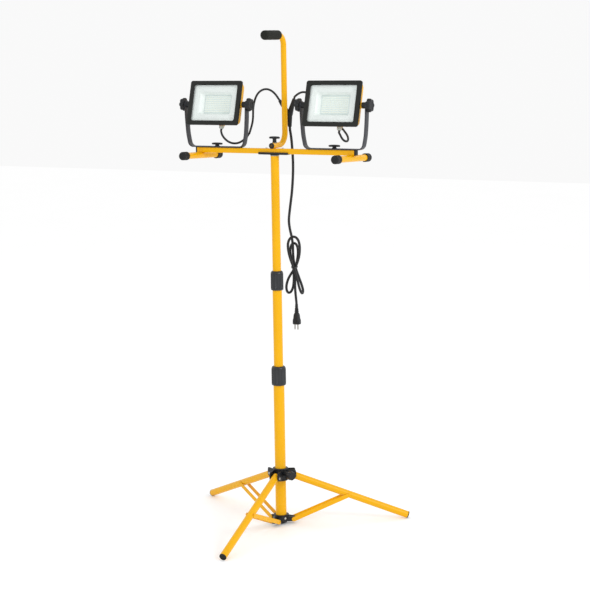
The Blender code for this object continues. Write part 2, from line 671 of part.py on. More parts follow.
def yoke_route():
    """Half of the strap's centreline in the XZ plane, from the stud out and up the arm."""
    centre_x, radius = 0.0980, YOKE_CORNER_RADIUS
    points = [(0.0, YOKE_BASE_Z)]
    points += [(centre_x + radius * math.sin(a), YOKE_BASE_Z + radius * (1 - math.cos(a)))
               for a in (math.radians(82) * i / 4 for i in range(5))]
    points += [(0.1260, 1.4600), (0.1290, TILT_Z - 0.0130), (0.1290, TILT_Z)]
    rounding = STRAP_WIDTH / 2
    points += [(0.1290, TILT_Z + rounding * math.sin(a))
               for a in (math.pi / 2 * i / 4 for i in range(1, 4))]
    return points


def strap_width(z):
    """Full width up to the tilt axis, then round to the arm's end."""
    half = STRAP_WIDTH / 2
    above = max(0.0, z - TILT_Z)
    return 2 * math.sqrt(max(half * half - above * above, 0.0))


def yoke_mesh():
    half = yoke_route()
    route = [(-x, z) for x, z in reversed(half[1:])] + half
    loops = []
    for i, (x, z) in enumerate(route):
        before, after = route[max(i - 1, 0)], route[min(i + 1, len(route) - 1)]
        along = Vector((after[0] - before[0], 0, after[1] - before[1])).normalized()
        normal = Vector((-along.z, 0, along.x)) * STRAP_THICKNESS / 2
        side = Vector((0, strap_width(z) / 2, 0))
        centre = Vector((x, 0, z))
        loops.append([centre + side + normal, centre - side + normal,
                      centre - side - normal, centre + side - normal])
    strap = skin(loops)
    stud_hole = turned([(STUD_RADIUS + FIT, YOKE_BASE_Z - 0.01),
                        (STUD_RADIUS + FIT, YOKE_BASE_Z + 0.01)], 8)
    tilt_hole = moved(side_cylinder(STUD_RADIUS + FIT, -0.2, 0.2, 8), shift(0, 0, TILT_Z))
    return cut(strap, stud_hole, tilt_hole)


def yoke_knob_mesh():
    """The T-knob whose screw holds the yoke down on the crossbar."""
    low = YOKE_BASE_Z + STRAP_THICKNESS / 2 + GAP
    screw = turned([(STUD_RADIUS, CROSSBAR_Z - 0.006), (STUD_RADIUS, low + 0.002)], 8)
    return joined(t_knob(low, 0.0050, 0.0080, 0.0460), screw)


def build_head(side, x, palette, mast):
    stand = add_empty(f"{side}_yoke_pivot", mast, (x, 0, 0))
    add_part(f"{side}_yoke", yoke_mesh(), palette["strap"], stand)
    add_part(f"{side}_yoke_knob", yoke_knob_mesh(), palette["black"], stand)
    tilt = add_empty(f"{side}_tilt_axis", stand, (0, 0, TILT_Z), (-HEAD_TILT, 0, 0))
    add_part(f"{side}_housing", housing_mesh(), palette["yellow"], tilt)
    add_part(f"{side}_bezel", bezel_mesh(), palette["bezel"], tilt)
    glass_size = (GLASS_OPENING[0] + 0.008, GLASS_OPENING[1] + 0.008)
    lens = skin([face_loop(glass_size, BEZEL_FRONT_Y + depth, 0.0060) for depth in (0.0031, 0.0071)])
    add_part(f"{side}_lens", lens, palette["glass"], tilt)
    add_part(f"{side}_reflector", reflector_mesh(), palette["white"], tilt)
    board = skin([face_loop((0.1320, 0.0920), y, 0.003) for y in (0.0090, 0.0108)])
    add_part(f"{side}_led_board", board, palette["board"], tilt)
    driver = skin([face_loop((0.1200, 0.0560), y, 0.003) for y in (0.0120, 0.0210)])
    add_part(f"{side}_driver", driver, palette["black"], tilt)
    add_part(f"{side}_gland", gland_mesh(), palette["nylon"], tilt)
    for end, sign in (("left", -1), ("right", 1)):
        add_part(f"{side}_head_{end}_knob", tilt_knob_mesh(sign), palette["black"], tilt)


# ---------------------------------------------------------------- cables and power cord

SPLITTER_MIDDLE = Vector((0.0020, CORD_Y, 1.5060))
SPLITTER_ENDS = {
    "left": Vector((-0.0360, CORD_Y, 1.5490)),
    "right": Vector((0.0246, CORD_Y, 1.5546)),
    "bottom": Vector((0.0050, CORD_Y, 1.4538)),
}
SPLITTER_ROOTS = {
    "left": SPLITTER_MIDDLE - Vector((0.0020, 0, 0.0060)),
    "right": SPLITTER_MIDDLE + Vector((0.0030, 0, -0.0080)),
    "bottom": SPLITTER_MIDDLE,
}


def tapered_rod(start, end, start_radius, end_radius, sides=10):
    along = end - start
    rod = turned([(start_radius, 0.0), (end_radius, along.length)], sides)
    return moved(rod, Vector((0, 0, 1)).rotation_difference(along).to_matrix().to_4x4(), shift(*start))


def build_splitter(palette, mast):
    """A moulded Y behind the handle's post: two branches up to the heads, one stem down."""
    radii = {"bottom": (0.0130, 0.0066), "left": (0.0100, 0.0058), "right": (0.0110, 0.0060)}
    rods = [tapered_rod(SPLITTER_ROOTS[end], SPLITTER_ENDS[end], *radii[end])
            for end in ("bottom", "left", "right")]
    add_part("cord_splitter", joined(*rods), palette["black"], mast)


def splitter_exit(end):
    """A splitter end, and the way its cord leaves it."""
    return SPLITTER_ENDS[end], (SPLITTER_ENDS[end] - SPLITTER_ROOTS[end]).normalized()


def gland_mouth(x):
    """The middle of a gland's lower end, and the way its cable leaves it."""
    tilt = Matrix.Rotation(-HEAD_TILT, 4, "X")
    mouth = Vector((x, 0, TILT_Z)) + tilt @ Vector((GLAND_X, GLAND_Y, GLAND_END_Z))
    return mouth, (tilt @ Vector((0, 0, -1))).normalized()


def cable_run(start, middle, end):
    """Route points between two exits, each a place and a way out, straight for a short stretch."""
    straight = (CORD_GAP, 0.0045, 0.0090)
    leaving = [start[0] + start[1] * reach for reach in straight]
    arriving = [end[0] + end[1] * reach for reach in reversed(straight)]
    return leaving + [Vector(point) for point in middle] + arriving


def build_cables(palette, mast):
    """Each head's cable in two lengths that meet behind its yoke."""
    meeting, way = Vector((-0.1314, 0.0360, 1.4265)), Vector((0.0199, 0.0120, 0.0346)).normalized()
    to_yoke = [(-0.2125, -0.0135, 1.4290), (-0.2030, -0.0090, 1.4140), (-0.1910, 0.0020, 1.4012),
               (-0.1743, 0.0120, 1.3965), (-0.1583, 0.0220, 1.4001), (-0.1433, 0.0300, 1.4115)]
    to_splitter = [(-0.1199, 0.0480, 1.4692), (-0.1200, 0.0540, 1.4942), (-0.1226, 0.0600, 1.5191),
                   (-0.1205, 0.0660, 1.5459), (-0.1128, 0.0710, 1.5691), (-0.0992, 0.0770, 1.5847),
                   (-0.0807, 0.0830, 1.5906), (-0.0634, 0.0890, 1.5851), (-0.0500, 0.0945, 1.5725)]
    add_head_cable("left", -HEAD_X, to_yoke, meeting, way, to_splitter, palette, mast)
    meeting, way = Vector((0.1852, 0.0670, 1.5116)), Vector((-0.0635, 0.0140, 0.0580)).normalized()
    to_yoke = [(0.2735, -0.0140, 1.4350), (0.2785, -0.0085, 1.4202), (0.2846, 0.0030, 1.4115),
               (0.2858, 0.0200, 1.4135), (0.2766, 0.0350, 1.4273), (0.2603, 0.0460, 1.4433),
               (0.2396, 0.0540, 1.4615), (0.2159, 0.0600, 1.4833)]
    to_splitter = [(0.1524, 0.0740, 1.5413), (0.1185, 0.0810, 1.5657), (0.0842, 0.0880, 1.5799),
                   (0.0571, 0.0930, 1.5786), (0.0400, 0.0970, 1.5700)]
    add_head_cable("right", HEAD_X, to_yoke, meeting, way, to_splitter, palette, mast)


def add_head_cable(side, x, to_yoke, meeting, way, to_splitter, palette, mast):
    cable = palette["cable"]
    add_cord(f"{side}_cable_head", cable_run(gland_mouth(x), to_yoke, (meeting, -way)),
             CABLE_RADIUS, cable, mast)
    add_cord(f"{side}_cable_frame", cable_run((meeting, way), to_splitter, splitter_exit(side)),
             CABLE_RADIUS, cable, mast)


def build_power_cord(palette, mast):
    """The cord hangs from the splitter into a tied hank, and its plug hangs below."""
    cable = palette["cable"]
    hank_top = Vector((0.0030, CORD_Y, HANK_TOP_Z)), Vector((-0.236, 0, 0.972)).normalized()
    middle = [(0.0095, CORD_Y, 1.4200), (0.0125, CORD_Y, 1.3900), (0.0155, CORD_Y, 1.3400),
              (0.0152, CORD_Y, 1.2900), (0.0100, CORD_Y, 1.2250), (0.0010, CORD_Y, 1.1650),
              (-0.0036, CORD_Y, 1.1340), (-0.0050, CORD_Y, 1.1080)]
    add_cord("power_cord", cable_run(splitter_exit("bottom"), middle, hank_top), CORD_RADIUS,
             cable, mast)
    width, height = 2 * HANK_HALF_WIDTH, HANK_TOP_Z - HANK_BOTTOM_Z
    outline = rounded_rectangle(width, height, HANK_HALF_WIDTH - 0.002, 4)
    middle_z = (HANK_TOP_Z + HANK_BOTTOM_Z) / 2
    hank = moved(extruded(outline, -HANK_THICKNESS / 2, HANK_THICKNESS / 2), turn(90, "X"),
                 shift(HANK_MIDDLE_X, CORD_Y, middle_z))
    add_part("cord_hank", hank, cable, mast)
    add_part("plug", plug_mesh(), palette["black"], mast)


def plug_mesh():
    """A three-pin plug that hangs from the hank by the cord's tail, its blades down."""
    tail_top, relief_top, body_top = HANK_BOTTOM_Z - CORD_GAP, 0.7980, 0.7720
    body_bottom, blade_tip = 0.7320, 0.7140
    tail = turned([(CORD_RADIUS, tail_top), (CORD_RADIUS, relief_top), (0.0056, relief_top),
                   (0.0085, body_top - 0.004)], 10)
    body = skin([[(x, y, z) for x, y in rounded_rectangle(0.0280 * s, 0.0230 * s, 0.007 * s)]
                 for z, s in ((body_top, 0.78), (body_top - 0.006, 1.0), (body_bottom + 0.002, 1.0),
                              (body_bottom, 0.94))])
    blades = [block((x - 0.0008, -0.0060, blade_tip), (x + 0.0008, 0.0005, body_bottom + 0.004))
              for x in (-0.0064, 0.0064)]
    ground = moved(turned([(0.0024, blade_tip - 0.003), (0.0024, body_bottom + 0.004)], 8),
                   shift(0, 0.0075, 0))
    return moved(joined(tail, body, *blades, ground), shift(PLUG_X, CORD_Y, 0))


# ---------------------------------------------------------------- whole light

def footprint_middle():
    """The middle of the box round the three foot caps, seen from above, from the mast's axis."""
    low, high = [math.inf, math.inf], [-math.inf, -math.inf]
    reach = PIVOT_REACH + LEG_LENGTH * math.cos(LEG_ANGLE)
    edge = reach - 0.0015 * math.cos(LEG_ANGLE)
    for azimuth in LEG_AZIMUTHS.values():
        for k, way in enumerate((math.cos(math.radians(azimuth)), math.sin(math.radians(azimuth)))):
            spread = FOOT_RADIUS * math.sqrt(1 - (way * math.cos(LEG_ANGLE)) ** 2)
            low[k] = min(low[k], edge * way - spread)
            high[k] = max(high[k], edge * way + spread)
    return (low[0] + high[0]) / 2, (low[1] + high[1]) / 2


def main():
    for item in list(bpy.data.objects):
        bpy.data.objects.remove(item)
    palette = make_palette()
    middle = footprint_middle()
    mast = add_empty("mast_axis", location=(-middle[0], -middle[1], 0))
    build_mast(palette, mast)
    build_tripod(palette, mast)
    build_crossbar(palette, mast)
    build_saddle(palette, mast)
    build_handle(palette, mast)
    build_clamp_knob(palette, mast)
    build_splitter(palette, mast)
    for side, x in (("left", -HEAD_X), ("right", HEAD_X)):
        build_head(side, x, palette, mast)
    build_cables(palette, mast)
    build_power_cord(palette, mast)
    bpy.context.view_layer.update()


main()
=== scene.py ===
"""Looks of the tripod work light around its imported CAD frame. Metres, +Z up, lights facing -Y."""
import math

import bmesh
import bpy
from mathutils import Matrix, Vector


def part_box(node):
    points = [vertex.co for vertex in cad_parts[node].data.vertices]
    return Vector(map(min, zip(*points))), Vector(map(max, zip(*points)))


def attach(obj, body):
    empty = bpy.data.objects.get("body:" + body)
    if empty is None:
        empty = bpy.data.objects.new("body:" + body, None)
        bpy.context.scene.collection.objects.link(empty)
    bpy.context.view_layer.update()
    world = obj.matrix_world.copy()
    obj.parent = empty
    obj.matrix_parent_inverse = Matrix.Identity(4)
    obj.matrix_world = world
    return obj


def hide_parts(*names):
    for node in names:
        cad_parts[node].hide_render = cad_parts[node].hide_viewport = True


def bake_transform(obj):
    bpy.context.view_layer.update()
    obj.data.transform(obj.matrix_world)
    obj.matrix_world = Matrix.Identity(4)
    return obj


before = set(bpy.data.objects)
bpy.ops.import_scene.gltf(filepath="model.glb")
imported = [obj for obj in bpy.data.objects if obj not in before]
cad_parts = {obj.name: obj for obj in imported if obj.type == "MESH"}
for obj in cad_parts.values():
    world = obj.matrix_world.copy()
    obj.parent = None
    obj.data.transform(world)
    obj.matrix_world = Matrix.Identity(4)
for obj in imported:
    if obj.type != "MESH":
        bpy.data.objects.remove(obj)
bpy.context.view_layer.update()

tube_low, tube_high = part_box("upper_tube")
MAST = Matrix.Translation(((tube_low.x + tube_high.x) / 2, (tube_low.y + tube_high.y) / 2, 0))

LEG_AZIMUTHS = {"right": 35.0, "back": 155.0, "front": 275.0}
PIVOT_REACH, LEG_PIVOT_Z, BRACE_PIVOT_Z = 0.0460, 0.1835, 0.0174
LEG_ANGLE = math.radians(21.9)
LEG_LENGTH, LEG_RADIUS = 0.4610, 0.0130
BRACE_LENGTH = (LEG_PIVOT_Z - BRACE_PIVOT_Z) / 2 / math.sin(LEG_ANGLE)
STRIP_INNER, STRIP_THICKNESS = 0.0136, 0.0024
HUB_KNOB_AZIMUTH, HUB_KNOB_Z = -25.0, 0.1940
CROSSBAR_Z, CROSSBAR_HALF = 1.3730, 0.3240
FLOOR_BAR_X, FLOOR_BAR_Z, FLOOR_BAR_RADIUS = 0.3110, 1.3529, 0.0116
HANDLE_ARM_Z, HANDLE_RADIUS, HANDLE_POST_Y = 1.3930, 0.0102, 0.0748
GRIP_Z, GRIP_RADIUS, GRIP_FRONT_Y, GRIP_BACK_Y = 1.7820, 0.0168, -0.0620, 0.0400
HEAD_X, TILT_Z, HEAD_MIDDLE_Z = 0.2420, 1.5370, 0.0030
HEAD_TILT = math.radians(15.0)
YOKE_BASE_Z = 1.3848
CABLE_RADIUS, CORD_RADIUS, CORD_Y = 0.00385, 0.0047, 0.1022


# ---------------------------------------------------------------- materials

def finish(name, colour, roughness, metallic=0.0, tone=0.06, tone_scale=18.0, grain=900.0,
           bump=0.05, rough_spread=0.08, **extra):
    """A surface whose tone, gloss and fine grain vary through noise."""
    material = bpy.data.materials.new(name)
    material.use_nodes = True
    tree = material.node_tree
    shader = tree.nodes["Principled BSDF"]
    shader.inputs["Metallic"].default_value = metallic
    shader.inputs["Base Color"].default_value = (*colour, 1.0)
    for key, value in extra.items():
        shader.inputs[key.replace("_", " ")].default_value = value
    place = tree.nodes.new("ShaderNodeTexCoord")

    def noise(scale, detail):
        node = tree.nodes.new("ShaderNodeTexNoise")
        node.inputs["Scale"].default_value = scale
        node.inputs["Detail"].default_value = detail
        tree.links.new(place.outputs["Object"], node.inputs["Vector"])
        return node.outputs["Fac"]

    ramp = tree.nodes.new("ShaderNodeValToRGB")
    ramp.color_ramp.elements[0].position = 0.3
    ramp.color_ramp.elements[1].position = 0.7
    ramp.color_ramp.elements[0].color = (*[c * (1 - tone) for c in colour], 1.0)
    ramp.color_ramp.elements[1].color = (*[min(1.0, c * (1 + tone)) for c in colour], 1.0)
    tree.links.new(noise(tone_scale, 3.0), ramp.inputs["Fac"])
    tree.links.new(ramp.outputs["Color"], shader.inputs["Base Color"])
    spread = tree.nodes.new("ShaderNodeMapRange")
    spread.inputs["To Min"].default_value = max(0.03, roughness - rough_spread)
    spread.inputs["To Max"].default_value = min(1.0, roughness + rough_spread)
    tree.links.new(noise(tone_scale * 3.3, 5.0), spread.inputs["Value"])
    tree.links.new(spread.outputs["Result"], shader.inputs["Roughness"])
    relief = tree.nodes.new("ShaderNodeBump")
    relief.inputs["Strength"].default_value = bump
    relief.inputs["Distance"].default_value = 0.0006
    tree.links.new(noise(grain, 2.0), relief.inputs["Height"])
    tree.links.new(relief.outputs["Normal"], shader.inputs["Normal"])
    return material


PAINT = finish("paint", (0.82, 0.415, 0.0010), 0.27, tone=0.03, tone_scale=9, grain=420, bump=0.04,
               rough_spread=0.05, Specular_IOR_Level=0.22)
CAST_PAINT = finish("cast_paint", (0.80, 0.41, 0.0010), 0.46, tone=0.04, grain=1100, bump=0.16,
                    Specular_IOR_Level=0.14)
UMBER = finish("end_plug", (0.10, 0.055, 0.012), 0.50, tone=0.2, grain=900, bump=0.10,
               Specular_IOR_Level=0.2)
PLASTIC = finish("plastic", (0.010, 0.011, 0.013), 0.46, tone=0.2, grain=1500, bump=0.14,
                 Specular_IOR_Level=0.34)
COLLAR = finish("collar_plastic", (0.014, 0.016, 0.019), 0.36, tone=0.2, grain=1300, bump=0.12,
                Specular_IOR_Level=0.5)
BEZEL = finish("bezel_coat", (0.009, 0.010, 0.008), 0.42, tone=0.15, grain=1700, bump=0.14,
               Specular_IOR_Level=0.30)
STRAP = finish("strap_coat", (0.038, 0.040, 0.048), 0.42, 0.15, tone=0.10, grain=900, bump=0.12,
               Specular_IOR_Level=0.4)
RUBBER = finish("moulded_rubber", (0.012, 0.012, 0.012), 0.62, tone=0.2, grain=800, bump=0.22,
                Specular_IOR_Level=0.3)
FOAM = finish("foam", (0.014, 0.015, 0.012), 0.93, tone=0.35, tone_scale=260, grain=650, bump=0.9,
              Specular_IOR_Level=0.3)
JACKET = finish("cable_jacket", (0.011, 0.012, 0.014), 0.44, tone=0.15, grain=700, bump=0.10,
                Specular_IOR_Level=0.34)
ZINC = finish("zinc_plate", (0.50, 0.50, 0.48), 0.34, 0.95, tone=0.12, tone_scale=90, bump=0.06)
BRASS = finish("blade_metal", (0.36, 0.35, 0.32), 0.30, 0.95, tone=0.10, tone_scale=120, bump=0.03)
NYLON = finish("nylon", (0.42, 0.43, 0.40), 0.30, tone=0.16, tone_scale=90, bump=0.06,
               Subsurface_Weight=0.15)
REFLECTOR = finish("reflector_white", (0.90, 0.94, 0.92), 0.30, tone=0.02, grain=300, bump=0.03)
# The LED board below has a faint emission: a painted glow that brightens it behind the glass, though the
# lamps are not lit.
BOARD_PAINTED_GLOW = finish("solder_mask_painted_glow", (0.62, 0.70, 0.68), 0.42, tone=0.03, tone_scale=50, bump=0.02,
               Emission_Color=(0.90, 1.0, 0.97, 1.0), Emission_Strength=0.10)
# The LED cases and strips have a faint emission: a painted glow, though the lamps are not lit.
LED_CASE_PAINTED_GLOW = finish("led_case", (0.90, 0.95, 0.92), 0.35, tone=0.03, tone_scale=200, bump=0.02,
                  Emission_Color=(0.95, 1.0, 0.98, 1.0), Emission_Strength=0.16)
TRACE = finish("board_trace", (0.40, 0.45, 0.46), 0.45, tone=0.05, tone_scale=80, bump=0.02)
PHOSPHOR = finish("phosphor", (0.86, 0.78, 0.42), 0.40, tone=0.08, tone_scale=300, bump=0.03)
GLASS = finish("front_glass", (0.60, 0.68, 0.66), 0.12, tone=0.0, tone_scale=12, grain=200,
               bump=0.0, rough_spread=0.02, Alpha=0.10, Specular_IOR_Level=0.35)
FLOOR = finish("studio_floor", (0.92, 0.92, 0.92), 0.90, tone=0.004, tone_scale=2, bump=0.0,
               Emission_Color=(1.0, 1.0, 1.0, 1.0), Emission_Strength=0.12,
               Specular_IOR_Level=0.0)



# ---------------------------------------------------------------- mesh building

def loft(loops, ring=False):
    """A closed mesh over loops of equal point counts."""
    shape = bmesh.new()
    rows = [[shape.verts.new(point) for point in loop] for loop in loops]
    pairs = list(zip(rows, rows[1:]))
    if ring:
        pairs.append((rows[-1], rows[0]))
    count = len(rows[0])
    for low, high in pairs:
        for i in range(count):
            j = (i + 1) % count
            shape.faces.new((low[i], low[j], high[j], high[i]))
    if not ring:
        shape.faces.new(list(reversed(rows[0])))
        shape.faces.new(rows[-1])
    bmesh.ops.recalc_face_normals(shape, faces=shape.faces)
    mesh = bpy.data.meshes.new("shape")
    shape.to_mesh(mesh)
    shape.free()
    return mesh


def merged(*meshes):
    shape = bmesh.new()
    for mesh in meshes:
        shape.from_mesh(mesh)
        bpy.data.meshes.remove(mesh)
    mesh = bpy.data.meshes.new("shape")
    shape.to_mesh(mesh)
    shape.free()
    return mesh


def circle(radius, height, sides=64):
    return [(radius * math.cos(2 * math.pi * i / sides), radius * math.sin(2 * math.pi * i / sides),
             height) for i in range(sides)]


def lathe(profile, sides=64, ring=False):
    return loft([circle(radius, height, sides) for radius, height in profile], ring)


def sleeve(outer, inner, low, high, sides=64):
    return lathe([(outer, low), (outer, high), (inner, high), (inner, low)], sides, True)


def fluted(profile, ribs, depth, ring=False, steps=8, soft=0.6):
    """A turned body with ribs: profile rows are (radius, height, how much of the ribs shows)."""
    loops = []
    for radius, height, amount in profile:
        loop = []
        for i in range(ribs * steps):
            angle = 2 * math.pi * i / (ribs * steps)
            groove = (0.5 - 0.5 * math.cos(ribs * angle)) ** soft
            reach = radius - depth * amount * groove
            loop.append((reach * math.cos(angle), reach * math.sin(angle), height))
        loops.append(loop)
    return loft(loops, ring)


def prism(outline, low, high):
    return loft([[(x, y, z) for x, y in outline] for z in (low, high)])


def box(low, high):
    outline = [(low[0], low[1]), (high[0], low[1]), (high[0], high[1]), (low[0], high[1])]
    return prism(outline, low[2], high[2])


def rounded_rectangle(width, height, radius, steps=6):
    points = []
    for quarter, (sx, sy) in enumerate(((1, 1), (-1, 1), (-1, -1), (1, -1))):
        for step in range(steps + 1):
            angle = math.pi / 2 * (quarter + step / steps)
            points.append((sx * (width / 2 - radius) + radius * math.cos(angle),
                           sy * (height / 2 - radius) + radius * math.sin(angle)))
    return points


def moved(mesh, *matrices):
    for matrix in matrices:
        mesh.transform(matrix)
    return mesh


def shift(x, y, z):
    return Matrix.Translation((x, y, z))


def turn(degrees, axis):
    return Matrix.Rotation(math.radians(degrees), 4, axis)


def smooth_line(points, spacing):
    """Evenly spaced points on a Catmull-Rom curve through the given points."""
    knots = [Vector(point) for point in points]
    knots = [2 * knots[0] - knots[1]] + knots + [2 * knots[-1] - knots[-2]]
    dense = []
    for a, b, c, d in zip(knots, knots[1:], knots[2:], knots[3:]):
        for i in range(24):
            t = i / 24
            dense.append(0.5 * (2 * b + (c - a) * t + (2 * a - 5 * b + 4 * c - d) * t ** 2
                                + (3 * b - a - 3 * c + d) * t ** 3))
    dense.append(knots[-2])
    lengths = [0.0]
    for a, b in zip(dense, dense[1:]):
        lengths.append(lengths[-1] + (b - a).length)
    count = max(2, round(lengths[-1] / spacing))
    line, segment = [], 0
    for i in range(count + 1):
        target = lengths[-1] * i / count
        while segment < len(dense) - 2 and lengths[segment + 1] < target:
            segment += 1
        span = lengths[segment + 1] - lengths[segment]
        line.append(dense[segment].lerp(dense[segment + 1], (target - lengths[segment]) / span))
    return line


def relaxed(route, rounds=8):
    """The route with its kinks eased out, and its two ends held."""
    for _ in range(rounds):
        route = route[:2] + [(a + 2 * b + c) / 4 for a, b, c in zip(route[1:], route[2:], route[3:])] \
            + route[-2:]
    return route


def pipe(line, radius, sides=20):
    """A round bar along a line, its rings carried along without twisting."""
    line = [Vector(point) for point in line]
    loops, across = [], None
    for i, point in enumerate(line):
        along = (line[min(i + 1, len(line) - 1)] - line[max(i - 1, 0)]).normalized()
        if across is None:
            across = along.orthogonal().normalized()
        across = (across - along * across.dot(along)).normalized()
        other = along.cross(across)
        reach = radius(i / (len(line) - 1)) if callable(radius) else radius
        loops.append([point + reach * (math.cos(a) * across + math.sin(a) * other)
                      for a in (2 * math.pi * k / sides for k in range(sides))])
    return loft(loops)


def piece(name, mesh, material, body, nodes=(), bevel=0.0, segments=2, at=None):
    """A shown piece that rides on a CAD body, built in the mast's frame or in the frame at."""
    if at is not None:
        mesh.transform(at)
    mesh.transform(MAST)
    mesh.name = name
    mesh.materials.clear()
    mesh.materials.append(material)
    mesh.shade_smooth()
    thing = bpy.data.objects.new(name, mesh)
    bpy.context.scene.collection.objects.link(thing)
    if bevel:
        edge = thing.modifiers.new("edges", "BEVEL")
        edge.width, edge.segments = bevel, segments
        edge.limit_method, edge.angle_limit = "ANGLE", math.radians(35)
        edge.harden_normals = True
    else:
        mesh.set_sharp_from_angle(angle=math.radians(38))
    if body:
        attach(thing, body)
    if nodes:
        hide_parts(*nodes)
    return thing


def rivet_head(radius, height):
    return lathe([(radius, 0.0), (radius, height * 0.3), (radius * 0.82, height * 0.75),
                  (radius * 0.45, height), (radius * 0.1, height)], 24)


# ---------------------------------------------------------------- mast

def build_mast():
    for name, body, outer, wall, low, high in (
            ("lower_tube", "base", 0.0200, 0.0016, 0.0133, 0.5520),
            ("middle_tube", "middle_mast", 0.0170, 0.0013, 0.4000, 0.9010),
            ("upper_tube", "upper_mast", 0.0152, 0.0015, 0.7900, 1.3562)):
        piece("mast_" + name, sleeve(outer, outer - wall, low, high), PAINT, body, [name],
              0.0004)
    collar("lower_collar", 0.0265, 0.5220, 0.0205, 0.0175, 0.5523)
    collar("upper_collar", 0.0229, 0.8720, 0.0175, 0.0157, 0.9013)
    plug = lathe([(0.0134, 1.333), (0.0134, 1.3565), (0.0160, 1.3565), (0.0160, 1.3584),
                  (0.0040, 1.3584), (0.0040, 1.4100)], 48)
    piece("mast_top_stud", plug, ZINC, "upper_mast", ["mast_plug"], 0.0004)
    piece("swivel_ring", sleeve(0.0160, 0.0045, 1.3587, 1.3606, 48), PLASTIC, "swivel",
          ["swivel_washer"], 0.0004)


def collar(name, radius, low, lower_bore, upper_bore, step):
    """A twist collar with upright ribs between two smooth lips."""
    high = low + 0.0700
    rows = [(lower_bore, low, 0), (radius - 0.0034, low, 0), (radius - 0.0014, low + 0.0008, 0),
            (radius - 0.0004, low + 0.0028, 0), (radius - 0.0002, low + 0.0060, 0),
            (radius, low + 0.0085, 1), (radius, high - 0.0110, 1), (radius - 0.0004, high - 0.0085, 0),
            (radius - 0.0012, high - 0.0050, 0), (radius - 0.0030, high - 0.0018, 0),
            (radius - 0.0050, high - 0.0002, 0), (upper_bore, high, 0), (upper_bore, step, 0),
            (lower_bore, step, 0)]
    piece(name + "_grip", fluted(rows, 14, 0.0032, ring=True), COLLAR, name, [name])


# ---------------------------------------------------------------- tripod

def build_tripod():
    build_brace_hub()
    build_leg_hub()
    for side, azimuth in LEG_AZIMUTHS.items():
        spoke = turn(azimuth, "Z")
        leg_frame = spoke @ shift(PIVOT_REACH, 0, LEG_PIVOT_Z) @ Matrix.Rotation(LEG_ANGLE, 4, "Y")
        brace_frame = spoke @ shift(PIVOT_REACH, 0, BRACE_PIVOT_Z) \
            @ Matrix.Rotation(-LEG_ANGLE, 4, "Y")
        build_leg(side, leg_frame)
        build_brace(side, brace_frame)


def build_leg(side, at):
    end = LEG_LENGTH - 0.0034
    tube = moved(sleeve(LEG_RADIUS, LEG_RADIUS - 0.0015, -0.0100, end, 48), turn(90, "Y"))
    piece(side + "_leg_tube", tube, PAINT, side + "_leg", [side + "_leg"], 0.0004,
          at=at)
    cap = lathe([(0.0112, end - 0.012), (0.0112, end + 0.0003), (0.0131, end + 0.0003),
                 (0.0133, LEG_LENGTH - 0.0018), (0.0129, LEG_LENGTH - 0.0006),
                 (0.0120, LEG_LENGTH), (0.0100, LEG_LENGTH), (0.0094, LEG_LENGTH - 0.0012),
                 (0.0040, LEG_LENGTH - 0.0012), (0.0034, LEG_LENGTH - 0.0004),
                 (0.0004, LEG_LENGTH - 0.0002)], 48)
    moved(cap, turn(90, "Y"), at)
    for vertex in cap.vertices:
        vertex.co.z = max(vertex.co.z, 0.0)
    piece(side + "_leg_cap", cap, RUBBER, side + "_leg", [side + "_foot"])


def build_brace(side, at):
    """Two pressed strips, held together by their rivets."""
    outer = STRIP_INNER + STRIP_THICKNESS
    outline = [(0.0083 * math.cos(a), 0.0083 * math.sin(a))
               for a in (math.pi / 2 + math.pi * i / 12 for i in range(13))]
    outline += [(BRACE_LENGTH + 0.0075 * math.cos(a), 0.0075 * math.sin(a))
                for a in (-math.pi / 2 + math.pi * i / 12 for i in range(13))]
    strips = [moved(prism(outline, low, low + STRIP_THICKNESS), turn(90, "X"))
              for low in (STRIP_INNER, -outer)]
    brace = piece(side + "_brace_strips", merged(*strips), PAINT, side + "_brace",
                  [side + "_brace"], 0.0006, at=at)
    rivets = []
    for x in (0, BRACE_LENGTH):
        rivets.append(moved(lathe([(0.0030, -outer), (0.0030, outer)], 24), turn(90, "X"),
                            shift(x, 0, 0)))
        for way in (1, -1):
            rivets.append(moved(rivet_head(0.0050, 0.0016), turn(-90 * way, "X"),
                                shift(x, way * outer, 0)))
    piece(side + "_brace_rivets", merged(*rivets), PAINT, side + "_brace", (), at=at)
    return brace


def teardrop(reach, height, radius, low, high, root):
    """The outline, radial by upright, of an ear round a pivot."""
    arc = [(reach + radius * math.cos(a), height + radius * math.sin(a))
           for a in (math.radians(68) - math.radians(150) * i / 12 for i in range(13))]
    return [(root, low), (root, high), (root + 0.006, high)] + arc + [(root + 0.010, low)]


def build_brace_hub():
    low, high = 0.0090, 0.0360
    cup = lathe([(0.0235, low), (0.0268, low + 0.0020), (0.0268, high - 0.0030),
                 (0.0282, high - 0.0024), (0.0282, high), (0.0203, high), (0.0203, 0.0130)], 64)
    foot = lathe([(0.0003, 0.0030), (0.0165, 0.0030), (0.0208, 0.0046), (0.0232, 0.0096),
                  (0.0003, 0.0096)], 48)
    parts = [cup, foot]
    for azimuth in LEG_AZIMUTHS.values():
        outline = teardrop(PIVOT_REACH, BRACE_PIVOT_Z, 0.0082, low + 0.0004, 0.0290, 0.0215)
        for sy in (1, -1):
            y0, y1 = sorted((sy * 0.0045, sy * 0.0133))
            parts.append(moved(prism(outline, y0, y1), turn(90, "X"), turn(azimuth, "Z")))
        parts.append(moved(box((0.0220, -0.0060, low + 0.0010), (0.0400, 0.0060, 0.0150)),
                           turn(azimuth, "Z")))
    piece("brace_hub_casting", merged(*parts), PLASTIC, "base", ["brace_hub"], 0.0006)
    heads = [moved(rivet_head(0.0042, 0.0016), turn(90, "Y"), shift(0.0267, 0, 0.0235),
                   turn(azimuth, "Z")) for azimuth in (-25, 95, 215)]
    piece("brace_hub_rivets", merged(*heads), ZINC, "base", ())


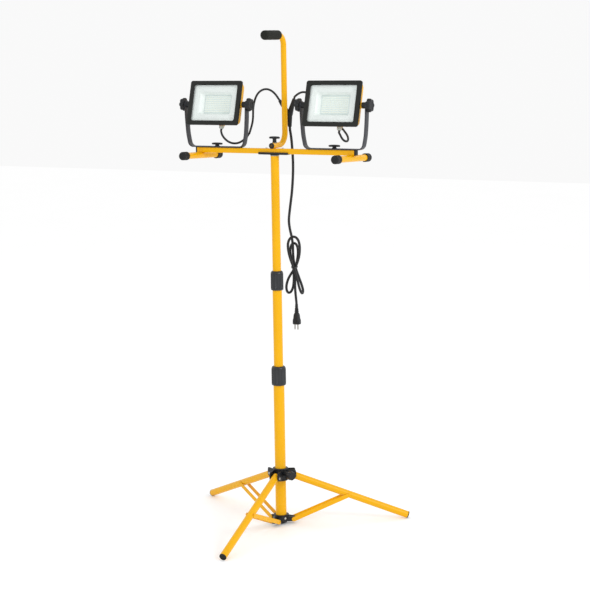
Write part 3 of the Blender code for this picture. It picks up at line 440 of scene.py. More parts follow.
def build_leg_hub():
    low, high = 0.1660, 0.2120
    barrel = fluted([(0.0206, low, 0), (0.0272, low, 0), (0.0282, low + 0.0010, 0),
                     (0.0282, low + 0.0040, 0), (0.0268, low + 0.0052, 1),
                     (0.0268, high - 0.0062, 1), (0.0280, high - 0.0050, 0),
                     (0.0280, high - 0.0010, 0), (0.0270, high, 0), (0.0206, high, 0)],
                    18, 0.0008, ring=True)
    parts, pins = [barrel], []
    for azimuth in LEG_AZIMUTHS.values():
        outline = [(0.0210, LEG_PIVOT_Z - 0.0120), (0.0400, LEG_PIVOT_Z - 0.0112)]
        outline += [(PIVOT_REACH + 0.0108 * math.cos(a), LEG_PIVOT_Z + 0.0108 * math.sin(a))
                    for a in (math.radians(-90 + 15 * i) for i in range(7))]
        outline += [(0.0566, LEG_PIVOT_Z + 0.0120), (0.0556, LEG_PIVOT_Z + 0.0190),
                    (0.0530, LEG_PIVOT_Z + 0.0215), (0.0210, LEG_PIVOT_Z + 0.0222)]
        outline.reverse()
        for sy in (1, -1):
            y0, y1 = sorted((sy * STRIP_INNER, sy * (STRIP_INNER + 0.0048)))
            parts.append(moved(prism(outline, y0, y1), turn(90, "X"), turn(azimuth, "Z")))
            pins.append(moved(rivet_head(0.0052, 0.0018), turn(-90 * sy, "X"),
                              shift(PIVOT_REACH, sy * (STRIP_INNER + 0.0048), LEG_PIVOT_Z),
                              turn(azimuth, "Z")))
        pins.append(moved(lathe([(0.0030, -0.0150), (0.0030, 0.0150)], 24), turn(90, "X"),
                          shift(PIVOT_REACH, 0, LEG_PIVOT_Z), turn(azimuth, "Z")))
    knob_frame = turn(HUB_KNOB_AZIMUTH, "Z") @ shift(0, 0, HUB_KNOB_Z) @ turn(90, "Y")
    parts.append(moved(lathe([(0.0100, 0.0215), (0.0100, 0.0350), (0.0046, 0.0350)], 40), knob_frame))
    piece("leg_hub_casting", merged(*parts), PLASTIC, "leg_hub", ["leg_hub"], 0.0006)
    piece("leg_hub_rivets", merged(*pins), ZINC, "leg_hub", ())
    wheel = fluted([(0.0040, 0.0215, 0), (0.0040, 0.0356, 0), (0.0080, 0.0356, 0), (0.0082, 0.0530, 0),
                    (0.0150, 0.0556, 0.4), (0.0165, 0.0580, 1), (0.0165, 0.0725, 1),
                    (0.0158, 0.0748, 0.8), (0.0142, 0.0766, 0.3), (0.0115, 0.0770, 0),
                    (0.0105, 0.0762, 0), (0.0004, 0.0760, 0)], 10, 0.0020, steps=10)
    piece("hub_lock_knob", wheel, PLASTIC, "hub_knob", ["hub_knob"], at=knob_frame)


# ---------------------------------------------------------------- crossbar and handle

def build_crossbar():
    outer = rounded_rectangle(0.0190, 0.0190, 0.0022, 4)
    inner = rounded_rectangle(0.0158, 0.0158, 0.0010, 4)
    loops = [[(x, y, CROSSBAR_Z + z) for y, z in outline]
             for x, outline in ((-CROSSBAR_HALF, outer), (CROSSBAR_HALF, outer),
                                (CROSSBAR_HALF, inner), (-CROSSBAR_HALF, inner))]
    parts = [loft(loops, ring=True)]
    for x in (-FLOOR_BAR_X, FLOOR_BAR_X):
        parts.append(moved(sleeve(FLOOR_BAR_RADIUS, FLOOR_BAR_RADIUS - 0.0015, -0.1230, 0.1230, 48),
                           turn(90, "X"), bar_place(x)))
    piece("crossbar_weldment", merged(*parts), PAINT, "light_frame", ["crossbar"],
          0.0004)
    beads = []
    for x in (-FLOOR_BAR_X, FLOOR_BAR_X):
        for sy in (1, -1):
            line = [(x + 0.0078 * math.sin(t), sy * (0.0102 + 0.0003 * math.cos(9 * t)),
                     FLOOR_BAR_Z + 0.0108 - 0.0028 * math.sin(t) ** 2)
                    for t in (-math.pi / 2 + math.pi * i / 28 for i in range(29))]
            beads.append(pipe(line, lambda s: 0.0016 + 0.0002 * math.sin(60 * s), 12))
    piece("floor_bar_welds", merged(*beads), PAINT, "light_frame", ())
    for name, sign in (("left_crossbar_cap", -1), ("right_crossbar_cap", 1)):
        steps = ((0.3120, 0.0150), (0.3243, 0.0150), (0.3243, 0.0190), (0.3292, 0.0190),
                 (0.3300, 0.0176))
        cap = loft([[(sign * x, y, CROSSBAR_Z + z)
                     for y, z in rounded_rectangle(side, side, 0.0020, 4)] for x, side in steps])
        ring = loft([[(sign * x, y, CROSSBAR_Z + z)
                      for y, z in rounded_rectangle(side, side, 0.0012, 4)]
                     for x, side in ((0.3298, 0.0128), (0.3306, 0.0124), (0.3306, 0.0104),
                                     (0.3298, 0.0100))], ring=True)
        piece(name + "_moulding", merged(cap, ring), PLASTIC, "light_frame", [name],
              0.0004)
    for side, x in (("left", -FLOOR_BAR_X), ("right", FLOOR_BAR_X)):
        for end, sign in (("front", -1), ("rear", 1)):
            build_bar_cap(f"{side}_{end}_bar_cap", x, sign)
    screws = []
    for x in (-0.034, 0.034):
        head = lathe([(0.0046, 0.0), (0.0046, 0.0012), (0.0036, 0.0026), (0.0020, 0.0031),
                      (0.0003, 0.0031)], 28)
        screws.append(moved(head, shift(x, 0, CROSSBAR_Z + 0.0095)))
    piece("saddle_screws", merged(*screws), ZINC, "light_frame", ())


def bar_place(x):
    """Where a floor bar lies: its front end is a little higher than its rear end."""
    return shift(x, 0, FLOOR_BAR_Z) @ turn(-2.0, "X") @ shift(0, -0.0020, 0)


def build_bar_cap(name, x, sign):
    """A ribbed rubber cup on a floor bar's end."""
    length = 0.0300
    rows = [(0.0004, 0.0006, 0), (0.0066, 0.0006, 0), (0.0072, 0.0000, 0), (0.0112, 0.0000, 0),
            (0.0138, 0.0010, 0), (0.0150, 0.0034, 0), (0.0152, 0.0054, 1), (0.0152, 0.0240, 1),
            (0.0153, 0.0258, 0), (0.0153, length - 0.0006, 0), (0.0146, length, 0),
            (0.0118, length, 0), (0.0118, 0.0050, 0)]
    cup = fluted(rows, 18, 0.0013)
    facing = turn(-90, "X") if sign < 0 else turn(90, "X")
    piece(name + "_rubber", moved(cup, facing), RUBBER, "light_frame", [name],
          at=bar_place(x) @ shift(0, sign * 0.1273, 0))


def build_saddle():
    """A channel under the crossbar with two low walls and tapered ends."""
    floor, low, lip = 1.3632, 1.3610, 1.3690
    outline = [(-0.0605, floor), (-0.0605, 1.3624), (-0.0598, 1.3619), (-0.0570, low + 0.0003),
               (-0.0560, low), (0.0560, low), (0.0570, low + 0.0003), (0.0598, 1.3619),
               (0.0605, 1.3624), (0.0605, floor)]
    parts = [loft([[(x, y, z) for x, z in outline] for y in (-0.0145, 0.0145)])]
    for sign in (1, -1):
        near, far = sorted((sign * 0.0098, sign * 0.0145))
        parts.append(box((-0.0605, near, floor - 0.0004), (0.0605, far, lip)))
    piece("saddle_moulding", merged(*parts), PLASTIC, "light_frame", ["saddle_plate"],
          0.0006)


def build_handle():
    elbow, bend = 0.0440, 0.0350
    line = [(0, y, HANDLE_ARM_Z) for y in (-0.0200, 0.0050)]
    line += [(0, HANDLE_POST_Y - elbow + elbow * math.sin(a), HANDLE_ARM_Z + elbow * (1 - math.cos(a)))
             for a in (math.pi / 2 * i / 16 for i in range(17))]
    line += [(0, HANDLE_POST_Y - bend + bend * math.cos(a), GRIP_Z - bend + bend * math.sin(a))
             for a in (math.pi / 2 * i / 16 for i in range(17))]
    line += [(0, GRIP_FRONT_Y + 0.0050, GRIP_Z)]
    piece("handle_tube", pipe(line, HANDLE_RADIUS, 48), PAINT, "light_frame", ["handle"],
          0.0004)
    flat = merged(moved(lathe([(0.0082, 0.0), (0.0082, 0.0016)], 40),
                        shift(0, 0, HANDLE_ARM_Z + HANDLE_RADIUS - 0.0015)))
    piece("handle_stud_washer", flat, ZINC, "light_frame", (), 0.0003)
    front = turn(90, "X")
    ring = lathe([(0.0078, 0.0150), (0.0102, 0.0196), (0.0105, 0.0204), (0.0105, 0.0222),
                  (0.0098, 0.0232), (0.0062, 0.0232), (0.0056, 0.0224)], 48)
    piece("handle_end_ring", moved(ring, front), PLASTIC, "light_frame", (),
          at=shift(0, 0, HANDLE_ARM_Z))
    disc = lathe([(0.0048, 0.0222), (0.0048, 0.0230), (0.0036, 0.0240), (0.0004, 0.0243)], 32)
    piece("handle_end_disc", moved(disc, front), UMBER, "light_frame", (),
          at=shift(0, 0, HANDLE_ARM_Z))
    length = GRIP_BACK_Y - GRIP_FRONT_Y
    rows = [(0.0004, 0.0002)]
    rows += [(GRIP_RADIUS - 0.0075 + 0.0075 * math.sin(a), 0.0075 * (1 - math.cos(a)))
             for a in (math.pi / 2 * i / 8 for i in range(9))]
    rows += [(GRIP_RADIUS + 0.0002 * math.sin(i * 1.9), 0.0075 + (length - 0.0125) * i / 10)
             for i in range(1, 10)]
    rows += [(GRIP_RADIUS - 0.0045 + 0.0045 * math.cos(a), length - 0.0045 + 0.0045 * math.sin(a))
             for a in (math.pi / 2 * i / 6 for i in range(7))]
    rows += [(HANDLE_RADIUS - 0.0002, length)]
    grip = moved(lathe(rows, 64), turn(-90, "X"), shift(0, GRIP_FRONT_Y, GRIP_Z))
    piece("handle_foam", grip, FOAM, "light_frame", ["handle_grip"])


def t_knob(low, stem, height, length):
    """A T-shaped knob: a fluted stem under a wing whose ends droop."""
    post = fluted([(0.0004, low, 0), (0.0082, low, 0), (0.0086, low + 0.0012, 0),
                   (0.0076, low + 0.0024, 1), (0.0070, low + stem * 0.7, 1),
                   (0.0078, low + stem + 0.0008, 0), (0.0050, low + stem + height * 0.6, 0)],
                  8, 0.0009)
    loops = []
    for i in range(25):
        s = -1 + 2 * i / 24
        size = max(1 - abs(s) ** 9, 0.0) ** 0.5
        size = max(size, 0.20)
        width = (0.0106 - 0.0014 * abs(s)) * size
        tall = (height - 0.0010 * abs(s)) * size
        middle = low + stem + height * 0.50 - 0.0006 * s * s
        loops.append([(s * length / 2, y, middle + z)
                      for y, z in rounded_rectangle(width, tall, min(width, tall) * 0.42, 5)])
    return merged(post, loft(loops))


# ---------------------------------------------------------------- light heads

def face_loop(size, y, radius):
    """A rounded rectangle across a head, at one depth."""
    return [(x, y, z + HEAD_MIDDLE_Z) for x, z in rounded_rectangle(*size, radius, 7)]


def face_loft(rows, ring=False):
    """A solid through rounded rectangles: rows are (width, height, depth, corner radius)."""
    return loft([face_loop((wide, tall), y, radius) for wide, tall, y, radius in rows], ring=ring)


def build_head(side, x):
    body, yoke = side + "_head", side + "_yoke"
    at = shift(x, 0, TILT_Z) @ Matrix.Rotation(-HEAD_TILT, 4, "X")
    build_housing(side, body, at)
    bezel = face_loft([(0.2160, 0.1595, -0.0180, 0.0068), (0.2178, 0.1613, -0.0175, 0.0077),
                       (0.2190, 0.1625, -0.0160, 0.0083), (0.2190, 0.1625, -0.0108, 0.0083),
                       (0.2180, 0.1615, -0.0100, 0.0078), (0.1915, 0.1400, -0.0100, 0.0070),
                       (0.1915, 0.1400, -0.0152, 0.0070), (0.1817, 0.1302, -0.0152, 0.0062),
                       (0.1815, 0.1300, -0.0160, 0.0060), (0.1845, 0.1330, -0.0180, 0.0064)], ring=True)
    piece(side + "_bezel_frame", bezel, BEZEL, body, [side + "_bezel"], at=at)
    glass = face_loft([(0.1891, 0.1376, -0.0148, 0.0055), (0.1895, 0.1380, -0.0145, 0.0060),
                       (0.1895, 0.1380, -0.0112, 0.0060), (0.1891, 0.1376, -0.0109, 0.0055)])
    piece(side + "_front_glass", glass, GLASS, body, [side + "_lens"], at=at)
    tray = face_loft([(0.2040, 0.1470, -0.0094, 0.008), (0.1372, 0.0852, -0.0094, 0.009),
                      (0.1348, 0.0828, -0.0084, 0.009), (0.1134, 0.0694, 0.0080, 0.005),
                      (0.1130, 0.0690, 0.0086, 0.003), (0.1160, 0.0720, 0.0086, 0.004),
                      (0.1390, 0.0870, -0.0082, 0.009), (0.2040, 0.1470, -0.0082, 0.008)], ring=True)
    piece(side + "_reflector_tray", tray, REFLECTOR, body, [side + "_reflector"],
          at=at)
    build_led_board(side, body, at)
    gland = [hexagon_nut(0.0106, -0.0745, -0.0790)]
    gland.append(fluted([(0.0088, -0.0789, 0), (0.0090, -0.0794, 1), (0.0088, -0.0838, 1),
                         (0.0078, -0.0854, 0.4), (0.0062, -0.0867, 0), (0.0052, -0.0872, 0),
                         (0.0040, -0.0868, 0)], 12, 0.0008))
    gland.append(lathe([(0.0078, -0.0660), (0.0078, -0.0748)], 32))
    place = at @ shift(0.0260, 0.0120, 0)
    piece(side + "_cable_gland", merged(*gland), NYLON, body, [side + "_gland"],
          0.0003, at=place)
    for end, sign in (("left", -1), ("right", 1)):
        build_tilt_knob(side, end, sign, at)
    build_yoke(side, yoke, x)


def build_housing(side, body, at):
    case = loft([face_loop((0.1780, 0.1215), 0.0230, 0.012), face_loop((0.1950, 0.1385), 0.0120, 0.006),
                 face_loop((0.2080, 0.1515), -0.0097, 0.006), face_loop((0.2140, 0.1575), -0.0097, 0.009),
                 face_loop((0.2134, 0.1569), -0.0070, 0.009), face_loop((0.2020, 0.1455), 0.0120, 0.009),
                 face_loop((0.2000, 0.1435), 0.0156, 0.010), face_loop((0.1915, 0.1350), 0.0240, 0.014),
                 face_loop((0.1870, 0.1305), 0.0260, 0.015)])
    pad = lathe([(0.0003, -0.0660), (0.0115, -0.0660), (0.0115, -0.0737), (0.0107, -0.0744),
                 (0.0003, -0.0744)], 32)
    moved(pad, shift(0.0260, 0.0120, 0))
    parts = [case, pad]
    for i in range(13):
        x = (i - 6) * 0.0125
        tall, deep, half = (0.0560, 0.0088, 0.0014) if i % 2 == 0 else (0.0500, 0.0062, 0.0010)
        rows = []
        for y, shrink in ((0.0245, 1.0), (0.0260 + deep * 0.6, 0.85), (0.0260 + deep, 0.62)):
            outline = rounded_rectangle(2 * half * shrink, 2 * tall - (1 - shrink) * 0.014,
                                        half * shrink * 0.9, 3)
            rows.append([(x + u, y, HEAD_MIDDLE_Z + v) for u, v in outline])
        parts.append(loft(rows))
    for sign in (1, -1):
        boss = lathe([(0.0120, 0.1010), (0.0112, 0.1066), (0.0095, 0.1105), (0.0095, 0.1266)], 40)
        parts.append(moved(boss, turn(90 * sign, "Y")))
    piece(side + "_case", merged(*parts), CAST_PAINT, body, [side + "_housing"],
          0.0005, at=at)
    sleeves = [moved(sleeve(0.0112, 0.0094, 0.1128, 0.1267, 40), turn(90 * sign, "Y"))
               for sign in (1, -1)]
    piece(side + "_boss_sleeves", merged(*sleeves), PLASTIC, body, (), 0.0005, at=at)
    screws = []
    for sx in (-1, 1):
        for sz in (-1, 1):
            head = lathe([(0.0034, 0.0), (0.0034, 0.0010), (0.0026, 0.0020), (0.0012, 0.0020),
                          (0.0010, 0.0012), (0.0003, 0.0012)], 20)
            screws.append(moved(head, turn(-90, "X"),
                                shift(sx * 0.0860, 0.0255, HEAD_MIDDLE_Z + sz * 0.0560)))
    piece(side + "_case_screws", merged(*screws), ZINC, body, (), at=at)


def build_led_board(side, body, at):
    """The board behind the glass, with its rows of small LEDs."""
    board = loft([face_loop((0.1340, 0.0900), y, 0.003) for y in (0.0090, 0.0108)])
    # The board's material glows faintly: a painted glow.
    piece(side + "_board", board, BOARD_PAINTED_GLOW, body, [side + "_led_board"], 0.0003, at=at)
    cases, domes, strips, traces = [], [], [], []
    rows, columns, wide, tall = 9, 14, 0.0074, 0.0068
    for r in range(rows):
        z = HEAD_MIDDLE_Z + (r - (rows - 1) / 2) * tall
        strips.append(box((-0.0535, 0.0086, z - 0.0019), (0.0535, 0.0091, z + 0.0019)))
        traces.append(box((-0.0530, 0.0084, z - 0.0003), (0.0530, 0.0087, z + 0.0003)))
        for c in range(columns):
            x = (c - (columns - 1) / 2) * wide
            cases.append(box((x - 0.0017, 0.0080, z - 0.0014), (x + 0.0017, 0.0091, z + 0.0014)))
            domes.append(box((x - 0.0011, 0.0078, z - 0.0008), (x + 0.0011, 0.0081, z + 0.0008)))
    # Strips and cases share the faintly emitting material: a painted glow.
    piece(side + "_led_strips", merged(*strips), LED_CASE_PAINTED_GLOW, body, (), at=at)
    piece(side + "_led_cases", merged(*cases), LED_CASE_PAINTED_GLOW, body, (), 0.0002, 1, at=at)
    piece(side + "_led_faces", merged(*domes), PHOSPHOR, body, (), 0.0001, 1, at=at)
    piece(side + "_led_traces", merged(*traces), TRACE, body, (), at=at)


def hexagon_nut(radius, high, low):
    outline = [(radius * math.cos(math.radians(60 * i)), radius * math.sin(math.radians(60 * i)))
               for i in range(6)]
    return prism(outline, low, high)


def build_tilt_knob(side, end, sign, at):
    """A seven-lobed hand wheel with a domed cap."""
    rows = [(0.0120, 0.1313, 0), (0.0172, 0.1316, 0.3), (0.0222, 0.1330, 0.9), (0.0240, 0.1352, 1),
            (0.0240, 0.1440, 1), (0.0228, 0.1466, 0.9), (0.0196, 0.1480, 0.6), (0.0150, 0.1483, 0.15),
            (0.0120, 0.1478, 0), (0.0112, 0.1470, 0), (0.0040, 0.1472, 0), (0.0003, 0.1474, 0)]
    wheel = fluted(rows, 7, 0.0046, steps=16, soft=1.6)
    stud = lathe([(0.0040, 0.1080), (0.0040, 0.1330)], 24)
    name = f"{side}_head_{end}_knob"
    facing = turn(90 * sign, "Y")
    piece(name + "_wheel", moved(wheel, facing), PLASTIC, name, [name], at=at)
    washer = sleeve(0.0098, 0.0041, 0.1310, 0.1318, 32)
    piece(name + "_stud", moved(merged(stud, washer), facing), ZINC, name, (), 0.0003,
          at=at)


def build_yoke(side, body, x):
    """A bent strap with rounded edges and round arm ends."""
    corner, radius = 0.0980, 0.0200
    half = [(0.0, 0, YOKE_BASE_Z), (0.0500, 0, YOKE_BASE_Z)]
    half += [(corner + radius * math.sin(a), 0, YOKE_BASE_Z + radius * (1 - math.cos(a)))
             for a in (math.radians(82) * i / 6 for i in range(7))]
    half += [(0.1232, 0, 1.4300), (0.1260, 0, 1.4600), (0.1282, 0, 1.4950), (0.1290, 0, 1.5240),
             (0.1290, 0, TILT_Z)]
    line = smooth_line(half, 0.0035)
    top = [Vector((0.1290, 0, TILT_Z + 0.0130 * math.sin(a)))
           for a in (math.pi / 2 * i / 9 for i in range(1, 10))]
    line = line + top
    route = [Vector((-p.x, 0, p.z)) for p in reversed(line[1:])] + line
    loops = []
    for i, point in enumerate(route):
        along = (route[min(i + 1, len(route) - 1)] - route[max(i - 1, 0)]).normalized()
        normal = Vector((-along.z, 0, along.x))
        above = max(0.0, point.z - TILT_Z)
        width = 2 * math.sqrt(max(0.0130 ** 2 - above ** 2, 0.0010 ** 2))
        outline = rounded_rectangle(width, 0.0040, min(0.0012, width / 3), 3)
        loops.append([point + Vector((0, u, 0)) + normal * v for u, v in outline])
    piece(side + "_yoke_strap", loft(loops), STRAP, body, [side + "_yoke"],
          at=shift(x, 0, 0))
    knob = t_knob(1.3871, 0.0050, 0.0080, 0.0460)
    piece(side + "_yoke_wing", knob, PLASTIC, side + "_yoke_knob", [side + "_yoke_knob"],
          at=shift(x, 0, 0))
    screw = lathe([(0.0040, CROSSBAR_Z - 0.0060), (0.0040, 1.3885)], 24)
    piece(side + "_yoke_screw", screw, ZINC, side + "_yoke_knob", (), 0.0004,
          at=shift(x, 0, 0))


# ---------------------------------------------------------------- cables and power cord

SPLITTER_MIDDLE = Vector((0.0020, CORD_Y, 1.5060))
SPLITTER_ENDS = {"left": Vector((-0.0360, CORD_Y, 1.5490)), "right": Vector((0.0246, CORD_Y, 1.5546)),
                 "bottom": Vector((0.0050, CORD_Y, 1.4538))}
SPLITTER_ROOTS = {"left": SPLITTER_MIDDLE - Vector((0.0020, 0, 0.0060)),
                  "right": SPLITTER_MIDDLE + Vector((0.0030, 0, -0.0080)), "bottom": SPLITTER_MIDDLE}
LEFT_MEETING = Vector((-0.1314, 0.0360, 1.4265)), Vector((0.0199, 0.0120, 0.0346)).normalized()
RIGHT_MEETING = Vector((0.1670, 0.0987, 1.5059)), Vector((-0.0635, 0.0140, 0.0580)).normalized()


def splitter_exit(end):
    return SPLITTER_ENDS[end], (SPLITTER_ENDS[end] - SPLITTER_ROOTS[end]).normalized()


def gland_mouth(x):
    tilt = Matrix.Rotation(-HEAD_TILT, 4, "X")
    return (Vector((x, 0, TILT_Z)) + tilt @ Vector((0.0260, 0.0120, -0.0860)),
            (tilt @ Vector((0, 0, -1))).normalized())


def cable_run(start, middle, end, inset=0.0):
    straight = (-inset, 0.0045, 0.0090)
    leaving = [start[0] + start[1] * reach for reach in straight]
    arriving = [end[0] + end[1] * reach for reach in reversed(straight)]
    return leaving + [Vector(point) for point in middle] + arriving


def build_splitter():
    """The moulded Y behind the handle's post, melted together from three tapered rods."""
    rods = []
    for end, first, last in (("bottom", 0.0134, 0.0067), ("left", 0.0104, 0.0058),
                             ("right", 0.0114, 0.0060)):
        a, b = SPLITTER_ROOTS[end], SPLITTER_ENDS[end]
        rods.append(pipe([a.lerp(b, i / 10) for i in range(11)],
                         lambda s, first=first, last=last: first + (last - first) * s, 28))
    body = merged(*rods)
    thing = bpy.data.objects.new("melt", body)
    bpy.context.scene.collection.objects.link(thing)
    remesh = thing.modifiers.new("melt", "REMESH")
    remesh.mode, remesh.voxel_size = "VOXEL", 0.0009
    soften = thing.modifiers.new("soften", "SMOOTH")
    soften.factor, soften.iterations = 0.5, 5
    bpy.context.view_layer.update()
    mesh = bpy.data.meshes.new_from_object(thing.evaluated_get(bpy.context.evaluated_depsgraph_get()))
    bpy.data.objects.remove(thing)
    collars = []
    for end in SPLITTER_ENDS:
        place, way = splitter_exit(end)
        lean = Vector((0, 0, 1)).rotation_difference(way).to_matrix().to_4x4()
        for k in range(4):
            ring = lathe([(0.0050, -0.0010), (0.0064 + 0.0004 * k, -0.0006),
                          (0.0064 + 0.0004 * k, 0.0006), (0.0050, 0.0010)], 28)
            collars.append(moved(ring, lean, Matrix.Translation(place - way * (0.0040 + 0.0042 * k))))
    piece("splitter_moulding", mesh, PLASTIC, "light_frame", ["cord_splitter"])
    piece("splitter_relief_rings", merged(*collars), PLASTIC, "light_frame", (), 0.0003)


def build_head_cable(side, x, to_yoke, meeting, to_splitter):
    """A head's cable in two lengths, each running from one body to another."""
    place, way = meeting
    for part, run, body_a, body_b, node in (
            ("lower", cable_run(gland_mouth(x), to_yoke, (place, -way), 0.0010),
             f"{side}_head", f"{side}_yoke", f"{side}_cable_head"),
            ("upper", cable_run((place, way), to_splitter, splitter_exit(side), 0.0010),
             f"{side}_yoke", "light_frame", f"{side}_cable_frame")):
        line = [run[0]] + relaxed(smooth_line(run[1:-1], 0.0035)) + [run[-1]]
        cable = piece(f"{side}_{part}_cable", pipe(line, CABLE_RADIUS, 20), JACKET, None, [node])
        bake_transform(cable)


def build_cables():
    """Both head cables. The right one passes behind the sweep of its tilting head."""
    to_yoke = [(-0.2125, -0.0135, 1.4290), (-0.2030, -0.0090, 1.4140), (-0.1910, 0.0020, 1.4012),
               (-0.1743, 0.0120, 1.3965), (-0.1583, 0.0220, 1.4001), (-0.1433, 0.0300, 1.4115)]
    to_splitter = [(-0.1199, 0.0480, 1.4692), (-0.1200, 0.0540, 1.4942), (-0.1226, 0.0600, 1.5191),
                   (-0.1205, 0.0660, 1.5459), (-0.1128, 0.0710, 1.5691), (-0.0992, 0.0770, 1.5847),
                   (-0.0807, 0.0830, 1.5906), (-0.0634, 0.0890, 1.5851), (-0.0500, 0.0950, 1.5725)]
    build_head_cable("left", -HEAD_X, to_yoke, LEFT_MEETING, to_splitter)
    to_yoke = [(0.2735, -0.0140, 1.4350), (0.2785, -0.0085, 1.4202), (0.2846, 0.0030, 1.4115),
               (0.2858, 0.0200, 1.4135), (0.2757, 0.0370, 1.4270), (0.2554, 0.0546, 1.4418),
               (0.2298, 0.0712, 1.4584), (0.2006, 0.0866, 1.4786)]
    to_splitter = [(0.1362, 0.1023, 1.5363), (0.1062, 0.1025, 1.5619), (0.0773, 0.1000, 1.5778),
                   (0.0546, 0.0983, 1.5778), (0.0400, 0.0985, 1.5700)]
    build_head_cable("right", HEAD_X, to_yoke, RIGHT_MEETING, to_splitter)


# The cord's route in millimetres: X, Y behind the cord's plane, Z. It hangs from the splitter, goes
# through the hank's waist to the lower right loop, over the outer top loop, round the lower left
# loop, over the inner top loop and down to the plug.
HANK = [(9.5, 0, 1420), (12.5, 0, 1390), (15.5, 0, 1340), (15.2, 0, 1290), (10, 0, 1225), (1, 0, 1165),
        (-3.6, 0, 1134), (-5.7, 0, 1112), (-2.1, 0, 1083), (3.3, 3, 1055), (6.9, 4.4, 1024),
        (7.2, 4.4, 994), (10, 4.4, 961), (17, 4.6, 940), (24.3, 6, 918), (32.5, 10, 892),
        (40.6, 14, 864), (44.4, 10, 852), (46.6, 0, 846), (47.4, -13, 855), (45.1, -21, 874),
        (38.5, -21, 900), (29.9, -17, 923), (18.5, -14, 946), (7.2, -14, 971), (-1.5, -14, 1002),
        (-3.5, -14, 1029), (3.3, -12, 1049), (18.2, -9, 1058), (32.9, -6.5, 1050), (40.1, -5, 1030),
        (40.3, -4.8, 999), (32.1, -4.8, 966), (18.2, -4.8, 939), (2.1, -4, 918), (-12.7, -1, 896),
        (-23.2, 3, 867), (-20, 7, 844), (-8.9, 10, 846), (-0.1, 13, 865), (3.5, 13.6, 895),
        (3.1, 13.6, 923), (1, 13.6, 945), (-5.3, 13.6, 969), (-10.3, 13.6, 996), (-6.4, 13.6, 1021),
        (7.3, 13.6, 1032), (20.1, 13.6, 1021), (23, 13.6, 994), (18.3, 13.6, 964), (12.8, 13.6, 942),
        (10.5, 12.5, 920), (11.2, 9, 894), (13.9, 4, 865), (18, 1, 833), (21, 0, 812)]


def build_power_cord():
    """The cord from the splitter through its tied hank to the plug."""
    start, way = splitter_exit("bottom")
    points = [start + way * 0.0060, start + way * 0.0120]
    points += [Vector((x / 1000, CORD_Y + y / 1000, z / 1000)) for x, y, z in HANK]
    points += [Vector((0.0210, CORD_Y, 0.7990)), Vector((0.0210, CORD_Y, 0.7930))]
    line = [start - way * 0.0010] + relaxed(smooth_line(points, 0.0035), 10)
    line = [MAST @ point for point in line]
    curve = bpy.data.curves.new("power_lead", "CURVE")
    curve.dimensions = "3D"
    curve.bevel_depth, curve.bevel_resolution, curve.use_fill_caps = CORD_RADIUS, 4, True
    spline = curve.splines.new("POLY")
    spline.points.add(len(line) - 1)
    for spot, place in zip(spline.points, line):
        spot.co = (*place, 1.0)
    spline.use_smooth = True
    curve.materials.append(JACKET)
    lead = bpy.data.objects.new("power_lead", curve)
    bpy.context.scene.collection.objects.link(lead)
    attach(lead, "light_frame")
    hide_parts("power_cord", "cord_hank")
    tie = build_tie()
    plug = build_plug()


def build_tie():
    """A flat black tie round the hank's waist."""
    loops = []
    for i in range(48):
        a = 2 * math.pi * i / 48
        out = Vector((math.cos(a), math.sin(a), 0))
        spot = Vector((0.0092 * math.cos(a), 0.0228 * math.sin(a), 0.0012 * math.cos(a)))
        loops.append([spot + out * u + Vector((0, 0, v))
                      for u, v in ((0, -0.0026), (0.0012, -0.0026), (0.0012, 0.0026), (0, 0.0026))])
    band = loft(loops, ring=True)
    head = moved(box((-0.0024, -0.0026, -0.0034), (0.0024, 0.0026, 0.0034)), shift(0.0110, -0.002, 0.001))
    band = moved(merged(band, head), turn(31, "Z"), shift(0.0130, CORD_Y, 0.9440))
    return piece("hank_tie", band, PLASTIC, "light_frame", (), 0.0004)


def build_plug():
    """A moulded three-pin plug with a ribbed strain relief, hanging blades down."""
    place = shift(0.0210, CORD_Y, 0)
    relief = [(0.0040, 0.8060), (0.0052, 0.8056)]
    for k in range(5):
        z, r = 0.8040 - 0.0058 * k, 0.0054 + 0.0006 * k
        relief += [(r, z), (r, z - 0.0034), (r - 0.0010, z - 0.0040), (r - 0.0010, z - 0.0052)]
    relief += [(0.0084, 0.7740), (0.0084, 0.7680)]
    levels = ((0.7720, 0.0172, 0.0160, 0.0060), (0.7700, 0.0196, 0.0180, 0.0070),
              (0.7640, 0.0222, 0.0200, 0.0072), (0.7540, 0.0236, 0.0214, 0.0072),
              (0.7500, 0.0262, 0.0226, 0.0074), (0.7460, 0.0280, 0.0232, 0.0076),
              (0.7350, 0.0282, 0.0232, 0.0076), (0.7326, 0.0272, 0.0224, 0.0072),
              (0.7320, 0.0256, 0.0208, 0.0066))
    body = loft([[(x, y, z) for x, y in rounded_rectangle(w, d, r, 6)] for z, w, d, r in levels])
    grips = []
    for k in range(4):
        z = 0.7440 - 0.0024 * k
        grips.append(loft([[(x, y, z + rise)
                            for x, y in rounded_rectangle(0.0290 - inset, 0.0240 - inset, 0.0078, 6)]
                           for rise, inset in ((-0.0007, 0.0012), (0.0, 0.0), (0.0007, 0.0012))]))
    shell = piece("plug_body", merged(lathe(relief, 32), body, *grips), PLASTIC, "light_frame",
                  ["plug"], at=place)
    blades = []
    for x in (-0.0064, 0.0064):
        outline = [(-0.0032, 0.7340), (0.0032, 0.7340), (0.0032, 0.7135), (0.0018, 0.7120),
                   (-0.0018, 0.7120), (-0.0032, 0.7135)]
        blades.append(loft([[(x + dx, y - 0.0028, z) for y, z in outline]
                            for dx in (-0.00075, 0.00075)]))
    blades.append(moved(lathe([(0.0024, 0.7340), (0.0024, 0.7135), (0.0019, 0.7118),
                               (0.0008, 0.7110)], 24), shift(0, 0.0075, 0)))
    pins = piece("plug_blades", merged(*blades), BRASS, "light_frame", (), 0.0002, at=place)
    return [shell, pins]


# ---------------------------------------------------------------- stage

FLOOR_HALF, WORLD_BRIGHTNESS = 14, 0.95

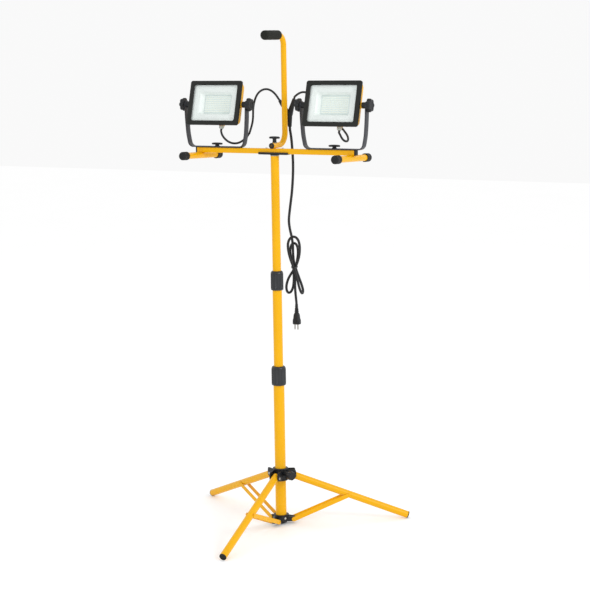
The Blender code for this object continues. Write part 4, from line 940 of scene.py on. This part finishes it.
def add_camera():
    """The photograph's viewing angle: a long lens from the right of the front."""
    azimuth, distance, height = math.radians(30.49), 5.8233, 1.7570
    heading, look_down, roll = 29.86, 8.83, -0.93
    data = bpy.data.cameras.new("camera")
    data.lens, data.sensor_width = 99.42, 36.0
    camera = bpy.data.objects.new("camera", data)
    bpy.context.scene.collection.objects.link(camera)
    place = MAST @ Vector((distance * math.sin(azimuth), -distance * math.cos(azimuth), height))
    camera.matrix_world = (Matrix.Translation(place) @ turn(heading, "Z")
                           @ turn(90 - look_down, "X") @ turn(roll, "Z"))
    bpy.context.scene.camera = camera


def add_light(name, place, target, power, size):
    """A round soft light, aimed at a point."""
    data = bpy.data.lights.new(name, "AREA")
    data.energy, data.shape, data.size = power, "DISK", size
    light = bpy.data.objects.new(name, data)
    bpy.context.scene.collection.objects.link(light)
    light.location = place
    light.rotation_euler = (Vector(target) - Vector(place)).to_track_quat("-Z", "Y").to_euler()


def add_stage():
    """A plain pale floor and world, the same from every side, and three soft lights."""
    slab = box((-FLOOR_HALF, -FLOOR_HALF, -0.02), (FLOOR_HALF, FLOOR_HALF, -0.0005))
    floor = bpy.data.objects.new("floor", slab)
    floor.data.materials.append(FLOOR)
    bpy.context.scene.collection.objects.link(floor)
    world = bpy.data.worlds.new("studio")
    world.use_nodes = True
    sky = world.node_tree.nodes["Background"]
    sky.inputs["Color"].default_value = (1.0, 1.0, 1.0, 1.0)
    sky.inputs["Strength"].default_value = WORLD_BRIGHTNESS
    bpy.context.scene.world = world
    bpy.context.scene.view_settings.view_transform = "Standard"
    add_light("key", (4.4, -1.2, 3.0), (0.2, 0, 0.9), 62, 1.6)
    add_light("fill", (-0.6, -5.6, 2.4), (0, 0, 0.9), 8, 3.0)
    add_light("rim", (1.5, 4.5, 3.8), (0, 0, 1.0), 12, 2.4)


def dress_hidden_nodes():
    """CAD nodes that still show keep their shape and get a finish of their own."""
    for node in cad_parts.values():
        if not node.hide_render:
            node.data.materials.clear()
            node.data.materials.append(PLASTIC)


def main():
    """Everything, in the order in which it is built."""
    add_camera()
    add_stage()
    build_power_cord()
    build_cables()
    build_splitter()
    build_mast()
    build_tripod()
    build_crossbar()
    build_saddle()
    build_handle()
    piece("clamp_wing", t_knob(1.4035, 0.0135, 0.0088, 0.0440), PLASTIC, "clamp_knob", ["clamp_knob"])
    build_head("left", -HEAD_X)
    build_head("right", HEAD_X)
    dress_hidden_nodes()


main()
